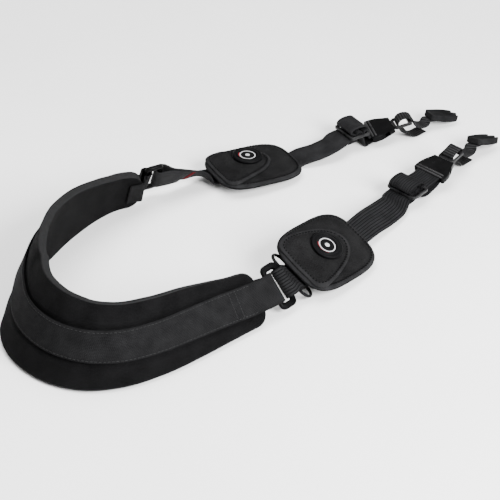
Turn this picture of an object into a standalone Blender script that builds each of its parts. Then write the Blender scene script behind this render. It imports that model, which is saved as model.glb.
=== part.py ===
"""A camera neck strap lying in an open U: a curved neck pad standing on its long edge, and two webbing arms.

Lengths in the tables are millimetres. X runs to the right, Y away from the viewer, Z up. The neck pad is a cone-like
band that leans inward. Each arm is a webbing run that folds round a connector ring, passes under a small pouch, rolls
over a triglide, loops round a buckle and ends, as narrow webbing, at an end plug.
"""
import math

import bmesh
import bpy
import numpy as np
from mathutils import Matrix, Vector

MM = 0.001

# ---- driving dimensions, in millimetres ----
GAP = 0.3              # clearance between neighbouring pieces
PAD_T = 7.0            # foam pad thickness
PAD_EDGE = 2.6         # rounding of the pad's rim
PAD_CORNER = 11.0      # corner radius of the pad's two ends
PAD_STEP = 12.0        # spacing of the pad's sections
BAND_GAP = 0.8         # between the pad's face and the webbing sewn along it
WEB_W = 25.0           # main webbing width
WEB_T = 1.4            # main webbing thickness
NARROW_W = 12.5        # narrow webbing width
NARROW_T = 1.2         # narrow webbing thickness
RING_L = 38.5          # connector ring, across the strap
RING_W = 17.0          # connector ring, along the strap
RING_T = 3.8           # connector ring thickness
RING_HOLE_L = 27.6
RING_HOLE_W = 9.0
FOLD_R = 4.2           # radius of the webbing's fold round a ring bar
FOLD_LEAD = 2.0        # how far that fold runs straight on from the bar
WIRE_L = 44.0          # wire ring centre line, across the strap
WIRE_W = 15.5          # wire ring centre line, along the strap
WIRE_R = 1.3           # wire radius
WIRE_ROOM = 1.4        # between the wire and the ply it hangs on
WIRE_ROLL = 4.5        # its roll from the pouch, in degrees
WIRE_PLACE = (-38.5, 0.2)   # its middle in the near pouch's frame: along, across
POUCH_LOWER_PLY = -7.9 # the lower ply's height in the near pouch's frame
POUCH_L = 80.0         # pouch, along the strap
POUCH_W = 61.0         # pouch, across the strap
POUCH_HALF_T = 5.0     # half the thickness of the pouch base
UNDER_PLY = -(POUCH_HALF_T + GAP + WEB_T / 2)   # the height of the webbing that lies against a pouch's underside
FLAP_T = 2.6           # thickness of the flap
BADGE_R = 13.6         # radius of the round badge
TRI_L = 22.0           # triglide, along the strap
TRI_W = 30.6           # triglide, across the strap
TRI_T = 3.0
TRI_SLOT_W = 26.6
TRI_SLOT_L = 6.0
TRI_BAR = 3.3
SOCKET_HALF_T = 3.2    # half the thickness of a buckle's wide half
SOCKET_MOUTH = 7.2     # half width of its mouth
SOCKET_MOUTH_T = 2.0   # half height of its mouth
BAR = (-2.2, 1.2, -2.2, 0.3)         # a buckle bar: its two sides, along, its underside and its top
CHANNEL = (-6.0, 6.4, -9.0, 2.5)     # the webbing's way round that bar, under the lip
END_BAR = (-0.6, 1.5, -1.9, -0.1)    # the same for the end plug
END_CHANNEL = (-2.5, 5.0, -9.0, 1.8)
BUCKLE_END = 37.0      # from the buckle's webbing bar to the bar at its other end
BUCKLE_PLUG_T = 3.2
FRAME_SLOT = 11.6      # the slot in the buckle's narrow end, along the strap
END_PLUG_T = 6.0
FLAP_SHIFT = {"near": 0.0, "far": -3.7}   # how far each pouch's flap sits from its usual place, along
BADGE_PLACE = {"near": (-3.7, 1.0), "far": (-3.6, 5.6)}   # badge centre on each pouch: along, across

# ---- the neck pad: middle of its lower edge, its inward lean from upright, and its width up the slope ----
PAD_ROWS = (
    # x, y, lean, width
    (14.0, -102.0, 36.0, 44.0),
    (3.8, -109.9, 35.5, 44.6),
    (-11.8, -123.1, 33.4, 48.6),
    (-35.6, -143.1, 26.4, 55.2),
    (-63.7, -164.3, 21.6, 60.2),
    (-92.7, -179.1, 21.2, 64.1),
    (-119.2, -182.9, 22.0, 68.4),
    (-145.4, -175.3, 23.0, 71.9),
    (-167.5, -158.0, 24.7, 74.8),
    (-182.3, -136.8, 27.2, 77.4),
    (-189.3, -112.8, 28.1, 78.1),
    (-188.9, -91.5, 25.2, 76.8),
    (-187.3, -64.9, 24.1, 75.1),
    (-180.4, -37.1, 22.4, 73.5),
    (-167.6, -12.0, 20.3, 70.7),
    (-157.5, 10.2, 21.5, 65.6),
    (-145.9, 30.7, 23.4, 59.7),
    (-133.3, 48.7, 25.0, 53.8),
    (-117.4, 64.3, 25.3, 48.8),
    (-99.5, 72.2, 24.0, 45.2),
)

# ---- the frames that hard pieces and free webbing sit in: place, heading, roll of the left edge upward, pitch ----
FRAMES = {
    # name: (x, y, z, heading, roll, pitch)
    "near_ring": (22.0, -77.7, 18.5, 47.0, 46.0, 0.0),
    "near_link": (30.3, -65.4, 16.6, 47.5, 31.0, -2.0),
    "near_pouch": (61.8, -30.2, 18.6, 47.8, 23.9, -3.6),
    "near_arm_1": (100.3, 21.6, 13.5, 53.0, 40.0, -4.0),
    "near_arm_2": (113.4, 38.0, 12.0, 55.0, 40.0, -5.0),
    "near_arm_3": (123.6, 55.0, 9.5, 54.0, 25.0, -5.0),
    "near_triglide": (138.0, 80.5, 11.5, 47.0, 3.0, 2.0),
    "near_buckle": (159.7, 104.1, 11.6, 46.0, 2.0, 13.0),
    "near_strap_1": (196.5, 144.5, 9.0, 50.0, 6.0, -25.0),
    "near_strap_2": (201.5, 151.8, 8.3, 53.0, 0.0, 8.0),
    "near_plug": (207.6, 160.8, 13.3, 43.0, -8.5, -17.5),
    "near_tail_1": (190.0, 140.5, 1.6, 38.0, 0.0, -6.0),
    "near_tail_2": (199.5, 150.8, 0.7, 38.0, 0.0, 0.0),
    "far_ring": (-86.0, 77.0, 24.0, 27.0, -58.0, 0.0),
    "far_link_1": (-70.0, 85.0, 20.0, 30.0, -55.0, -10.0),
    "far_link_2": (-59.0, 92.4, 16.4, 32.0, -46.0, -16.0),
    "far_link_3": (-46.0, 100.6, 12.2, 27.0, -35.0, -16.0),
    "far_pouch": (3.0, 121.2, 8.9, 29.3, 1.7, -3.4),
    "far_arm_1": (48.3, 146.4, 5.0, 26.0, 4.0, 6.0),
    "far_arm_2": (61.7, 150.9, 7.4, 30.0, 3.0, 7.0),
    "far_arm_3": (76.0, 159.2, 10.8, 38.0, 0.0, 8.0),
    "far_triglide": (95.6, 179.2, 14.0, 30.0, -1.0, 3.0),
    "far_buckle": (113.2, 187.0, 7.8, 12.0, 0.0, 13.5),
    "far_strap_1": (159.5, 201.0, 7.5, 34.0, 8.0, -30.0),
    "far_strap_2": (165.2, 206.3, 6.3, 38.0, 0.0, 5.0),
    "far_plug": (173.0, 213.0, 11.0, 28.0, -2.0, -15.8),
    "far_tail_1": (150.5, 194.8, 1.4, 32.0, 0.0, -4.0),
    "far_tail_2": (163.0, 204.4, 0.7, 30.0, 0.0, 0.0),
}

COLLECTION = "camera_neck_strap"


# ---- placing ----

def axes(name):
    """Origin, heading, width and upward axes of a named frame, in millimetres."""
    x, y, z, heading, roll, pitch = FRAMES[name]
    h, r, p = (math.radians(v) for v in (heading, roll, pitch))
    along = np.array([math.cos(h) * math.cos(p), math.sin(h) * math.cos(p), math.sin(p)])
    left = np.array([-math.sin(h), math.cos(h), 0.0])
    up = np.cross(along, left)
    across = math.cos(r) * left + math.sin(r) * up
    return np.array([x, y, z]), along, across, np.cross(along, across)


def matrix_of(name):
    """The same frame as a matrix, in metres."""
    origin, along, across, normal = axes(name)
    m = Matrix.Identity(4)
    for row in range(3):
        m[row][0], m[row][1], m[row][2] = along[row], across[row], normal[row]
        m[row][3] = origin[row] * MM
    return m


def at(name, u, v, t=0.0, turn=0.0, flip=False):
    """A webbing station in a frame: u along, t across, v up; turn swings the width about the face, in degrees."""
    origin, along, across, normal = axes(name)
    k = math.radians(turn)
    side = math.cos(k) * across + math.sin(k) * along
    if flip:
        side = -side
    return np.concatenate([origin + u * along + t * across + v * normal, side])


# ---- numbers to shapes ----

def hermite(keys, values, wanted):
    """Smooth values between uneven keys, through every key."""
    keys = np.asarray(keys, float)
    values = np.asarray(values, float)
    slopes = np.gradient(values, keys, axis=0)
    out = []
    for w in wanted:
        i = int(np.clip(np.searchsorted(keys, w) - 1, 0, len(keys) - 2))
        span = keys[i + 1] - keys[i]
        f = (w - keys[i]) / span
        a = 2 * f ** 3 - 3 * f ** 2 + 1
        b = f ** 3 - 2 * f ** 2 + f
        c = -2 * f ** 3 + 3 * f ** 2
        d = f ** 3 - f ** 2
        out.append(a * values[i] + b * span * slopes[i] + c * values[i + 1] + d * span * slopes[i + 1])
    return np.array(out)


def distances(points):
    """Running length along a row of points."""
    steps = np.linalg.norm(np.diff(points, axis=0), axis=1)
    return np.concatenate([[0.0], np.cumsum(steps)])


def smooth_route(stations, bend=20.0, longest=12.0):
    """Stations (place and side) made finer where the route turns or twists."""
    stations = np.array(stations)
    keys = distances(stations[:, :3])
    fine = [keys[0]]
    for i in range(len(keys) - 1):
        probe = hermite(keys, stations, np.linspace(keys[i], keys[i + 1], 9))
        steps = np.diff(probe[:, :3], axis=0)
        steps /= np.linalg.norm(steps, axis=1)[:, None]
        turned = np.degrees(np.sum(np.arccos(np.clip(np.sum(steps[1:] * steps[:-1], axis=1), -1, 1))))
        sides = probe[:, 3:] / np.linalg.norm(probe[:, 3:], axis=1)[:, None]
        twisted = np.degrees(np.arccos(np.clip(np.dot(sides[0], sides[-1]), -1, 1)))
        count = math.ceil(max(turned / bend, twisted / bend, (keys[i + 1] - keys[i]) / longest, 1.0))
        fine.extend(np.linspace(keys[i], keys[i + 1], count + 1)[1:])
    route = hermite(keys, stations, fine)
    centres = route[:, :3]
    tangents = np.gradient(centres, fine, axis=0)
    tangents /= np.linalg.norm(tangents, axis=1)[:, None]
    sides = route[:, 3:]
    sides -= np.sum(sides * tangents, axis=1)[:, None] * tangents
    sides /= np.linalg.norm(sides, axis=1)[:, None]
    return centres, sides


def superellipse(length, width, count, power):
    """A rounded rectangle with softly bowed sides."""
    points = []
    for k in range(count):
        a = 2 * math.pi * k / count
        c, s = math.cos(a), math.sin(a)
        x = length / 2 * math.copysign(abs(c) ** (2 / power), c)
        y = width / 2 * math.copysign(abs(s) ** (2 / power), s)
        points.append((x, y))
    return points


def rounded(length, width, radius, steps=4, centre=0.0):
    """A rectangle with round corners, its middle at (centre, 0)."""
    points = []
    corners = ((1, 1, 0), (-1, 1, 90), (-1, -1, 180), (1, -1, 270))
    for sx, sy, start in corners:
        cx = centre + sx * (length / 2 - radius)
        cy = sy * (width / 2 - radius)
        for k in range(steps + 1):
            a = math.radians(start + 90 * k / steps)
            points.append((cx + radius * math.cos(a), cy + radius * math.sin(a)))
    return points


# ---- objects ----

def clear_scene():
    for obj in list(bpy.data.objects):
        bpy.data.objects.remove(obj, do_unlink=True)


def make_material(name, colour, roughness, metallic=0.0):
    mat = bpy.data.materials.new(name)
    mat.use_nodes = True
    shader = mat.node_tree.nodes["Principled BSDF"]
    shader.inputs["Base Color"].default_value = (*colour, 1.0)
    shader.inputs["Roughness"].default_value = roughness
    shader.inputs["Metallic"].default_value = metallic
    mat.diffuse_color = (*colour, 1.0)
    return mat


def add_object(name, data, mat, collection):
    obj = bpy.data.objects.new(name, data)
    collection.objects.link(obj)
    data.materials.clear()
    data.materials.append(mat)
    return obj


def mesh_from(name, points, faces, smooth=True):
    """A mesh from millimetre points."""
    mesh = bpy.data.meshes.new(name)
    mesh.from_pydata([tuple(float(c) * MM for c in p) for p in points], [], faces)
    mesh.update()
    if smooth:
        mesh.polygons.foreach_set("use_smooth", [True] * len(mesh.polygons))
    return mesh


def thicken(obj, thickness):
    solid = obj.modifiers.new("thickness", "SOLIDIFY")
    solid.thickness = thickness * MM
    solid.offset = 0.0
    solid.use_even_offset = False


def round_edges(obj, width, segments, angle=50.0):
    bevel = obj.modifiers.new("edge", "BEVEL")
    bevel.width = width * MM
    bevel.segments = segments
    bevel.limit_method = "ANGLE"
    bevel.angle_limit = math.radians(angle)


def webbing(name, stations, width, thickness, mat, collection):
    """A flat woven strip along a route of stations."""
    centres, sides = smooth_route(stations)
    points = []
    faces = []
    for c, s in zip(centres, sides):
        points.append(c - s * width / 2)
        points.append(c + s * width / 2)
    for k in range(len(centres) - 1):
        faces.append((2 * k, 2 * k + 1, 2 * k + 3, 2 * k + 2))
    obj = add_object(name, mesh_from(name, points, faces), mat, collection)
    thicken(obj, thickness)
    return obj


def plate(name, outlines, thickness, edge, mat, collection, frame=None, rounds=0):
    """A flat piece with holes: outlines[0] is its edge and the rest are holes. The rounding lies inside its edge."""
    curve = bpy.data.curves.new(name, "CURVE")
    curve.dimensions = "2D"
    curve.fill_mode = "BOTH"
    curve.extrude = (thickness / 2 - edge) * MM
    curve.bevel_depth = edge * MM
    curve.bevel_resolution = rounds
    curve.offset = -edge * MM
    for outline in outlines:
        line = curve.splines.new("POLY")
        line.points.add(len(outline) - 1)
        for p, (x, y) in zip(line.points, outline):
            p.co = (x * MM, y * MM, 0.0, 1.0)
        line.use_cyclic_u = True
    return from_curve(name, curve, mat, collection, frame)


def from_curve(name, curve, mat, collection, frame=None):
    """The solid that a curve describes, its caps welded on."""
    source = bpy.data.objects.new(name + "_curve", curve)
    collection.objects.link(source)
    graph = bpy.context.evaluated_depsgraph_get()
    mesh = bpy.data.meshes.new_from_object(source.evaluated_get(graph))
    bpy.data.objects.remove(source, do_unlink=True)
    bm = bmesh.new()
    bm.from_mesh(mesh)
    bmesh.ops.remove_doubles(bm, verts=bm.verts, dist=1e-6)
    bmesh.ops.recalc_face_normals(bm, faces=bm.faces)
    bm.to_mesh(mesh)
    bm.free()
    mesh.name = name
    obj = add_object(name, mesh, mat, collection)
    if frame is not None:
        obj.matrix_world = frame
    return obj


def cushion(name, outline, rows, mat, collection, frame):
    """A soft flat piece: its outline drawn in by each row's inset, at the row's height, closed top and bottom."""
    outline = np.array(outline)
    middle = (outline.max(axis=0) + outline.min(axis=0)) / 2
    half = (outline.max(axis=0) - outline.min(axis=0)) / 2
    count = len(outline)
    points = []
    faces = []
    for inset, height in rows:
        for x, y in middle + (outline - middle) * (half - inset) / half:
            points.append((x, y, height))
    for r in range(len(rows) - 1):
        for k in range(count):
            a = r * count + k
            b = r * count + (k + 1) % count
            faces.append((a, b, b + count, a + count))
    for r, height, flip in ((0, rows[0][1], True), (len(rows) - 1, rows[-1][1], False)):
        points.append((middle[0], middle[1], height))
        hub = len(points) - 1
        for k in range(count):
            a = r * count + k
            b = r * count + (k + 1) % count
            faces.append((b, a, hub) if flip else (a, b, hub))
    obj = add_object(name, mesh_from(name, points, faces), mat, collection)
    obj.matrix_world = frame
    return obj


# ---- the neck pad and its webbing ----

def pad_stations():
    """Sections of the pad: lower edge, slope direction, outward direction, width and distance from the near end."""
    rows = np.array(PAD_ROWS)
    keys = distances(rows[:, :2])
    total = keys[-1]
    corner = [PAD_CORNER * f for f in (0.0, 0.07, 0.27, 0.58, 1.0)]
    middle = np.linspace(PAD_CORNER, total - PAD_CORNER, int((total - 2 * PAD_CORNER) / PAD_STEP) + 1)[1:-1]
    wanted = np.concatenate([corner, middle, [total - c for c in reversed(corner)]])
    values = hermite(keys, rows, wanted)
    heading = np.gradient(hermite(keys, rows[:, :2], wanted), wanted, axis=0)
    heading /= np.linalg.norm(heading, axis=1)[:, None]
    out = []
    for d, (x, y, lean, width), (hx, hy) in zip(wanted, values, heading):
        k = math.radians(lean)
        inward = np.array([hy, -hx, 0.0])
        slope = inward * math.sin(k) + np.array([0.0, 0.0, math.cos(k)])
        outward = np.cross(slope, np.array([hx, hy, 0.0]))
        rest = PAD_EDGE * (1 - math.cos(k)) + (PAD_T / 2 - PAD_EDGE) * math.sin(k)
        foot = np.array([x, y, rest])
        near = min(d, total - d)
        inset = 0.0
        if near < PAD_CORNER:
            inset = PAD_CORNER - math.sqrt(PAD_CORNER ** 2 - (PAD_CORNER - near) ** 2)
        out.append((foot, slope, outward, width, inset))
    return out


def neck_pad(mat, collection):
    across = 4
    points = []
    faces = []
    stations = pad_stations()
    for foot, slope, outward, width, inset in stations:
        for k in range(across + 1):
            points.append(foot + slope * (inset + (width - 2 * inset) * k / across))
    for r in range(len(stations) - 1):
        for k in range(across):
            a = r * (across + 1) + k
            faces.append((a, a + 1, a + across + 2, a + across + 1))
    obj = add_object("neck_pad", mesh_from("neck_pad", points, faces), mat, collection)
    thicken(obj, PAD_T)
    round_edges(obj, PAD_EDGE, 2)
    return obj


def ring_fold(name, side, turn, flip=False):
    """Round one long bar of a connector ring: side is 1 for the arm's bar and -1 for the pad's."""
    bar = (RING_HOLE_W + RING_W) / 4
    diagonal = FOLD_R * math.sqrt(0.5)
    inner = ((bar + FOLD_LEAD, -FOLD_R), (bar, -FOLD_R), (bar - diagonal, -diagonal), (bar - FOLD_R, 0.0),
             (bar - diagonal, diagonal), (bar, FOLD_R), (bar + FOLD_LEAD, FOLD_R))
    return [at(name, side * u, side * v, 0.0, turn, flip) for u, v in inner]


NEAR_TUCK = (6, 5, 4, 3, 2, 1)   # stations of the pad, counted from its end, that the tucked-in ends reach
FAR_TUCK = (1, 2, 3, 4)


def pad_webbing(mat, collection):
    """From its inner end near the near ring, round that ring, along the pad's outer face, round the far ring and in."""
    offset = PAD_T / 2 + BAND_GAP + WEB_T / 2
    stations = pad_stations()

    def on_pad(k, sign):
        foot, slope, outward, width, inset = stations[k]
        return np.concatenate([foot + slope * width / 2 + outward * offset * sign, slope])

    def past_end(k, sign, reach):
        station = on_pad(k, sign)
        foot, slope, outward, width, inset = stations[k]
        station[:3] += np.cross(outward, slope) * reach
        return station

    last = len(stations) - 1
    route = [on_pad(k, -1) for k in NEAR_TUCK]
    route.append(past_end(0, -1, -2.5))
    route += ring_fold("near_ring", -1, 1.5)[::-1]
    route.append(past_end(0, 1, -2.5))
    route += [on_pad(k, 1) for k in range(1, last)]
    route.append(past_end(last, 1, 1.2))
    route += ring_fold("far_ring", -1, -1.5, True)
    route.append(past_end(last, -1, 1.2))
    route += [on_pad(last - k, -1) for k in FAR_TUCK]
    return webbing("pad_webbing", route, WEB_W, WEB_T, mat, collection)


# ---- rings ----

def connector_ring(name, frame, mat, collection):
    outer = rounded(RING_W, RING_L, 5.0)
    hole = rounded(RING_HOLE_W, RING_HOLE_L, 1.6, 2)
    return plate(name, (outer, hole), RING_T, 1.0, mat, collection, matrix_of(frame), 1)


def wire_ring(name, mat, collection):
    """An oval of wire threaded by the lower ply, tilted so that one side is above that ply and the other below."""
    curve = bpy.data.curves.new(name, "CURVE")
    curve.dimensions = "3D"
    curve.bevel_depth = WIRE_R * MM
    curve.bevel_resolution = 1
    outline = rounded(WIRE_W, WIRE_L, WIRE_W / 2 - 0.4, 5)
    line = curve.splines.new("POLY")
    line.points.add(len(outline) - 1)
    for p, (x, y) in zip(line.points, outline):
        p.co = (x * MM, y * MM, 0.0, 1.0)
    line.use_cyclic_u = True
    tilt = math.asin(2 * (WIRE_R + WIRE_ROOM + WEB_T / 2) / WIRE_W)
    place = Matrix.Translation(Vector((*WIRE_PLACE, POUCH_LOWER_PLY)) * MM)
    seat = place @ Matrix.Rotation(math.radians(WIRE_ROLL), 4, "X")
    tilted = matrix_of("near_pouch") @ seat @ Matrix.Rotation(tilt, 4, "Y")
    return from_curve(name, curve, mat, collection, tilted)


# ---- pouches ----

POUCH_ROWS = (
    # inset, height
    (3.4, -POUCH_HALF_T),
    (1.0, -4.0),
    (0.0, -1.6),
    (0.0, 1.6),
    (1.0, 4.0),
    (3.4, POUCH_HALF_T),
)

FLAP_OUTLINE = (
    # along, half width
    (-37.0, 14.0),
    (-36.5, 20.0),
    (-34.0, 24.0),
    (-29.0, 26.3),
    (-22.0, 26.3),
    (-12.0, 24.0),
    (0.0, 20.0),
    (8.0, 16.0),
    (14.0, 11.0),
    (17.5, 6.0),
    (19.0, 0.0),
)

FLAP_ROWS = (
    # inset, height above the base
    (0.8, 0.0),
    (0.0, 0.7),
    (0.0, FLAP_T - 0.5),
    (0.7, FLAP_T + 0.2),
    (2.4, FLAP_T + 0.2),
    (3.4, FLAP_T - 0.4),
    (5.0, FLAP_T),
)

BADGE_PROFILE = (
    # radius, height
    (0.0, 1.3),
    (8.1, 1.6),
    (8.7, 2.6),
    (9.9, 2.6),
    (10.5, 1.7),
    (11.2, 1.7),
    (11.8, 2.4),
    (12.9, 2.2),
    (BADGE_R, 1.3),
    (BADGE_R, 0.0),
    (0.0, 0.0),
)


def pouch(side, fabric, rubber, collection):
    frame = matrix_of(side + "_pouch")
    outline = superellipse(POUCH_L, POUCH_W, 40, 3.4)
    cushion(side + "_pouch_base", outline, POUCH_ROWS, fabric, collection, frame)
    shift = FLAP_SHIFT[side]
    half = [(u + shift * min(max((u + 34.0) / 20.0, 0.0), 1.0), w) for u, w in FLAP_OUTLINE]
    fine = refine(mirrored(half[:-1]) + [half[-1]], 5.5)
    seat = frame @ Matrix.Translation((0.0, 0.0, (POUCH_HALF_T + GAP) * MM))
    cushion(side + "_pouch_flap", fine, FLAP_ROWS, fabric, collection, seat)
    top = Vector((*BADGE_PLACE[side], FLAP_T + GAP + 0.2)) * MM
    badge(side + "_badge", rubber, collection, seat @ Matrix.Translation(top))


def refine(outline, step):
    """A closed outline smoothed and spaced evenly."""
    closed = np.array(list(outline) + [outline[0]])
    keys = distances(closed)
    count = int(keys[-1] / step)
    return hermite(keys, closed, np.linspace(0.0, keys[-1], count + 1)[:-1])


def badge(name, mat, collection, frame):
    points = [(r, 0.0, z) for r, z in BADGE_PROFILE]
    edges = [(k, k + 1) for k in range(len(points) - 1)]
    mesh = bpy.data.meshes.new(name)
    mesh.from_pydata([(x * MM, y * MM, z * MM) for x, y, z in points], edges, [])
    obj = add_object(name, mesh, mat, collection)
    spin = obj.modifiers.new("round", "SCREW")
    spin.steps = 24
    spin.render_steps = 24
    spin.use_merge_vertices = True
    spin.merge_threshold = 0.00005
    spin.use_smooth_shade = True
    obj.matrix_world = frame
    return obj


# ---- arm hardware ----

def triglide(name, frame, mat, collection):
    outer = rounded(TRI_L, TRI_W, 3.0, 3)
    middle = (TRI_BAR + TRI_SLOT_L) / 2
    slots = [rounded(TRI_SLOT_L, TRI_SLOT_W, 0.8, 1, sign * middle) for sign in (-1, 1)]
    return plate(name, [outer] + slots, TRI_T, 0.5, mat, collection, matrix_of(frame))


SOCKET_EDGE = (
    # along, half width
    (-2.2, 15.2),
    (-1.4, 16.2),
    (2.0, 16.4),
    (7.0, 16.0),
    (12.0, 14.2),
    (17.0, 11.8),
    (21.0, 10.4),
)


def mirrored(half):
    """A closed outline from its left half."""
    return [(u, w) for u, w in half][::-1] + [(u, -w) for u, w in half]


def cut_away(body, tool, collection):
    """Takes a cutter's shape out of a solid and puts the cutter aside."""
    move_to_cutters(tool, collection)
    cut = body.modifiers.new("cut", "BOOLEAN")
    cut.operation = "DIFFERENCE"
    cut.solver = "EXACT"
    cut.object = tool


def box_outline(left, right, low, high):
    return [(left, low), (right, low), (right, high), (left, high)]


def webbing_channel(body, channel, bar, width, mat, collection, seat):
    """Opens the webbing's way round a bar: the bar stays between the side walls, with a lip above it."""
    turned = seat @ Matrix.Rotation(math.radians(90.0), 4, "X")
    name = body.name + "_channel"
    tool = plate(name, (box_outline(*channel), box_outline(*bar)), width, 0.0, mat, collection, turned)
    cut_away(body, tool, collection)


def buckle_socket(name, frame, mat, collection):
    """The wide half: a bar for the webbing under a lip, and a body with a mouth for the other half's prongs."""
    seat = matrix_of(frame)
    body = plate(name, (mirrored(SOCKET_EDGE),), 2 * SOCKET_HALF_T, 0.9, mat, collection, seat)
    mouth = rounded(13.0, 2 * SOCKET_MOUTH, 0.5, 1, 16.0)
    windows = rounded(5.0, 40.0, 0.5, 1, 13.0)
    for label, outline in (("_mouth", mouth), ("_windows", windows)):
        tool = plate(name + label, (outline,), 2 * SOCKET_MOUTH_T, 0.0, mat, collection, seat)
        cut_away(body, tool, collection)
    webbing_channel(body, CHANNEL, BAR, WEB_W + 3.0, mat, collection, seat)
    return body


def move_to_cutters(obj, collection):
    cutters = bpy.data.collections.get("cutters")
    if cutters is None:
        cutters = bpy.data.collections.new("cutters")
        bpy.context.scene.collection.children.link(cutters)
    collection.objects.unlink(obj)
    cutters.objects.link(obj)
    obj.hide_render = True
    obj.display_type = "WIRE"


BUCKLE_PLUG_EDGE = (
    # along, half width: the framed end, then the body and the hooked prong inside the socket
    (-1.8, 7.0),
    (-1.0, 8.4),
    (13.5, 8.4),
    (15.6, 6.6),
    (24.6, 6.6),
    (25.8, 5.8),
    (26.4, 4.2),
    (20.8, 4.2),
    (20.0, 2.4),
    (24.6, 2.0),
    (25.6, 0.0),
)

END_PLUG_EDGE = (
    # along, half width: the rear wall, the body, the side prong with its barb, and the middle tongue
    (-4.0, 5.4),
    (-2.4, 7.8),
    (5.0, 8.7),
    (12.0, 9.3),
    (18.0, 9.1),
    (22.0, 8.4),
    (25.0, 7.6),
    (27.0, 6.2),
    (26.4, 4.9),
    (23.0, 5.2),
    (17.5, 5.2),
    (16.6, 4.0),
    (17.5, 2.7),
    (25.0, 2.3),
    (28.5, 1.5),
    (29.3, 0.0),
)


def buckle_plug(name, frame, mat, collection):
    """The narrow half: a framed end for the narrow webbing, a body, two hooked prongs and a middle tongue."""
    turned = Matrix.Translation((BUCKLE_END * MM, 0.0, 0.0)) @ Matrix.Rotation(math.pi, 4, "Z")
    outline = mirrored(BUCKLE_PLUG_EDGE[:-1]) + [BUCKLE_PLUG_EDGE[-1]]
    slot = rounded(FRAME_SLOT, NARROW_W + 0.9, 0.8, 1, 1.5 + FRAME_SLOT / 2)
    return plate(name, (outline, slot), BUCKLE_PLUG_T, 0.4, mat, collection, matrix_of(frame) @ turned)


def end_plug(name, frame, mat, collection):
    """A plug with a bar under a lip for the narrow webbing, and two barbed prongs beside a middle tongue."""
    seat = matrix_of(frame)
    outline = mirrored(END_PLUG_EDGE[:-1]) + [END_PLUG_EDGE[-1]]
    body = plate(name, (outline,), END_PLUG_T, 0.6, mat, collection, seat)
    webbing_channel(body, END_CHANNEL, END_BAR, NARROW_W + 1.0, mat, collection, seat)
    return body


# ---- arm webbing ----

ROLLS = {
    # the roll over each triglide: shift along, reach along as a share, height above the triglide's middle
    "near": (-2.2, 1.0, 9.0),
    "far": (-0.4, 0.95, 8.2),
}

INNER_END = {
    # the arm's inner end on the pouch's underside, in the pouch's frame: along, up, across
    "near": ((-24.0, POUCH_LOWER_PLY, -2.4), (-34.0, POUCH_LOWER_PLY, -2.4), (-40.5, POUCH_LOWER_PLY, -2.4)),
    "far": (),
}

LOWER_LINKS = {
    # the lower ply between pouch and ring: frame, height above it
    "near": (("_link", -3.0),),
    "far": (("_link_2", -1.1), ("_link_1", -1.6)),
}

UPPER_LINKS = {
    # the upper ply between ring and pouch: frame, height above it
    "near": (("_link", 4.0),),
    "far": (("_link_1", 1.6), ("_link_2", 0.8), ("_link_3", 0.0)),
}

POUCH_RUN = {
    # the webbing under each pouch, in the pouch's frame: along, up, across
    "near": (
        (-42.5, -3.2, -2.3),
        (-38.3, -5.8, -2.2),
        (-35.5, UNDER_PLY, -2.1),
        (0.0, UNDER_PLY, 1.0),
        (34.0, UNDER_PLY, 3.0),
        (41.0, UNDER_PLY, 3.4),
    ),
    "far": (
        (-42.0, UNDER_PLY, 8.6),
        (-36.0, UNDER_PLY, 7.6),
        (0.0, UNDER_PLY, 1.0),
        (34.0, UNDER_PLY, 3.0),
        (41.0, UNDER_PLY, 3.4),
    ),
}

HOOK_LEADS = {
    # the webbing between triglide and buckle, in the triglide's frame: along, up, across, turn
    "near": (13.0, -1.8, 0.0, 0.0),
    "far": (11.4, -6.3, 0.0, 5.0),
}

HOOK_ENTRIES = {
    # where it comes in under the buckle's lip, in the buckle's frame: along, up
    "near": (-5.0, 1.2),
    "far": (-4.6, 1.9),
}

ROLL_SHAPE = (
    # along, and up as a share of the roll's height
    (-7.8, 0.33),
    (-9.4, 0.55),
    (-7.6, 0.84),
    (-3.0, 1.0),
    (3.0, 1.0),
    (7.6, 0.84),
    (9.4, 0.55),
    (7.8, 0.33),
)

TRI_IN = (
    # along, up: below the triglide and up through its first slot
    (-13.0, -2.7),
    (-9.5, -2.6),
    (-7.2, -2.5),
    (-5.2, -1.0),
    (-5.2, 1.6),
)

TRI_OUT = (
    # along, up: down through the second slot and on below the edge bar
    (5.2, 1.6),
    (5.2, -1.0),
    (7.2, -2.9),
    (9.5, -3.5),
)

TRI_BACK = (
    # along, up: the returning end, over the middle bar and back below
    (2.95, -1.4),
    (2.7, 1.4),
    (1.4, 2.8),
    (-1.4, 2.8),
    (-2.7, 1.4),
    (-2.95, -1.4),
    (-4.2, -4.2),
    (-7.6, -5.2),
    (-13.0, -5.4),
)

BAR_WRAP = (
    # along, up: over the buckle's bar, down behind it and back under it
    (-1.5, 1.4),
    (0.6, 1.4),
    (2.0, 1.05),
    (2.35, 0.0),
    (2.35, -1.8),
    (2.0, -2.95),
    (0.6, -3.2),
    (-1.5, -3.3),
    (-4.2, -4.4),
)

RETURNS = {
    # the hanging return ply in the triglide's frame: along, up, across, turn
    "near": ((20.0, -8.0, 0.0, 0.0), (13.5, -9.2, 0.0, 0.0), (8.0, -7.6, 0.0, 0.0), (4.5, -5.0, 0.0, 0.0)),
    "far": ((9.8, -13.7, 0.8, 8.0), (6.8, -13.4, 0.4, 3.0), (4.3, -6.8, 0.0, 0.0)),
}

END_WRAP = (
    # along, up: from the narrow webbing's inner end, over the end plug's bar and out below its rear wall
    (-1.5, -1.8),
    (-1.6, -0.5),
    (-1.25, 0.55),
    (0.3, 0.9),
    (1.95, 0.7),
    (2.45, -0.4),
    (2.45, -1.8),
    (1.8, -2.9),
    (0.3, -3.35),
    (-2.5, -4.0),
    (-5.0, -4.2),
)

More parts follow.
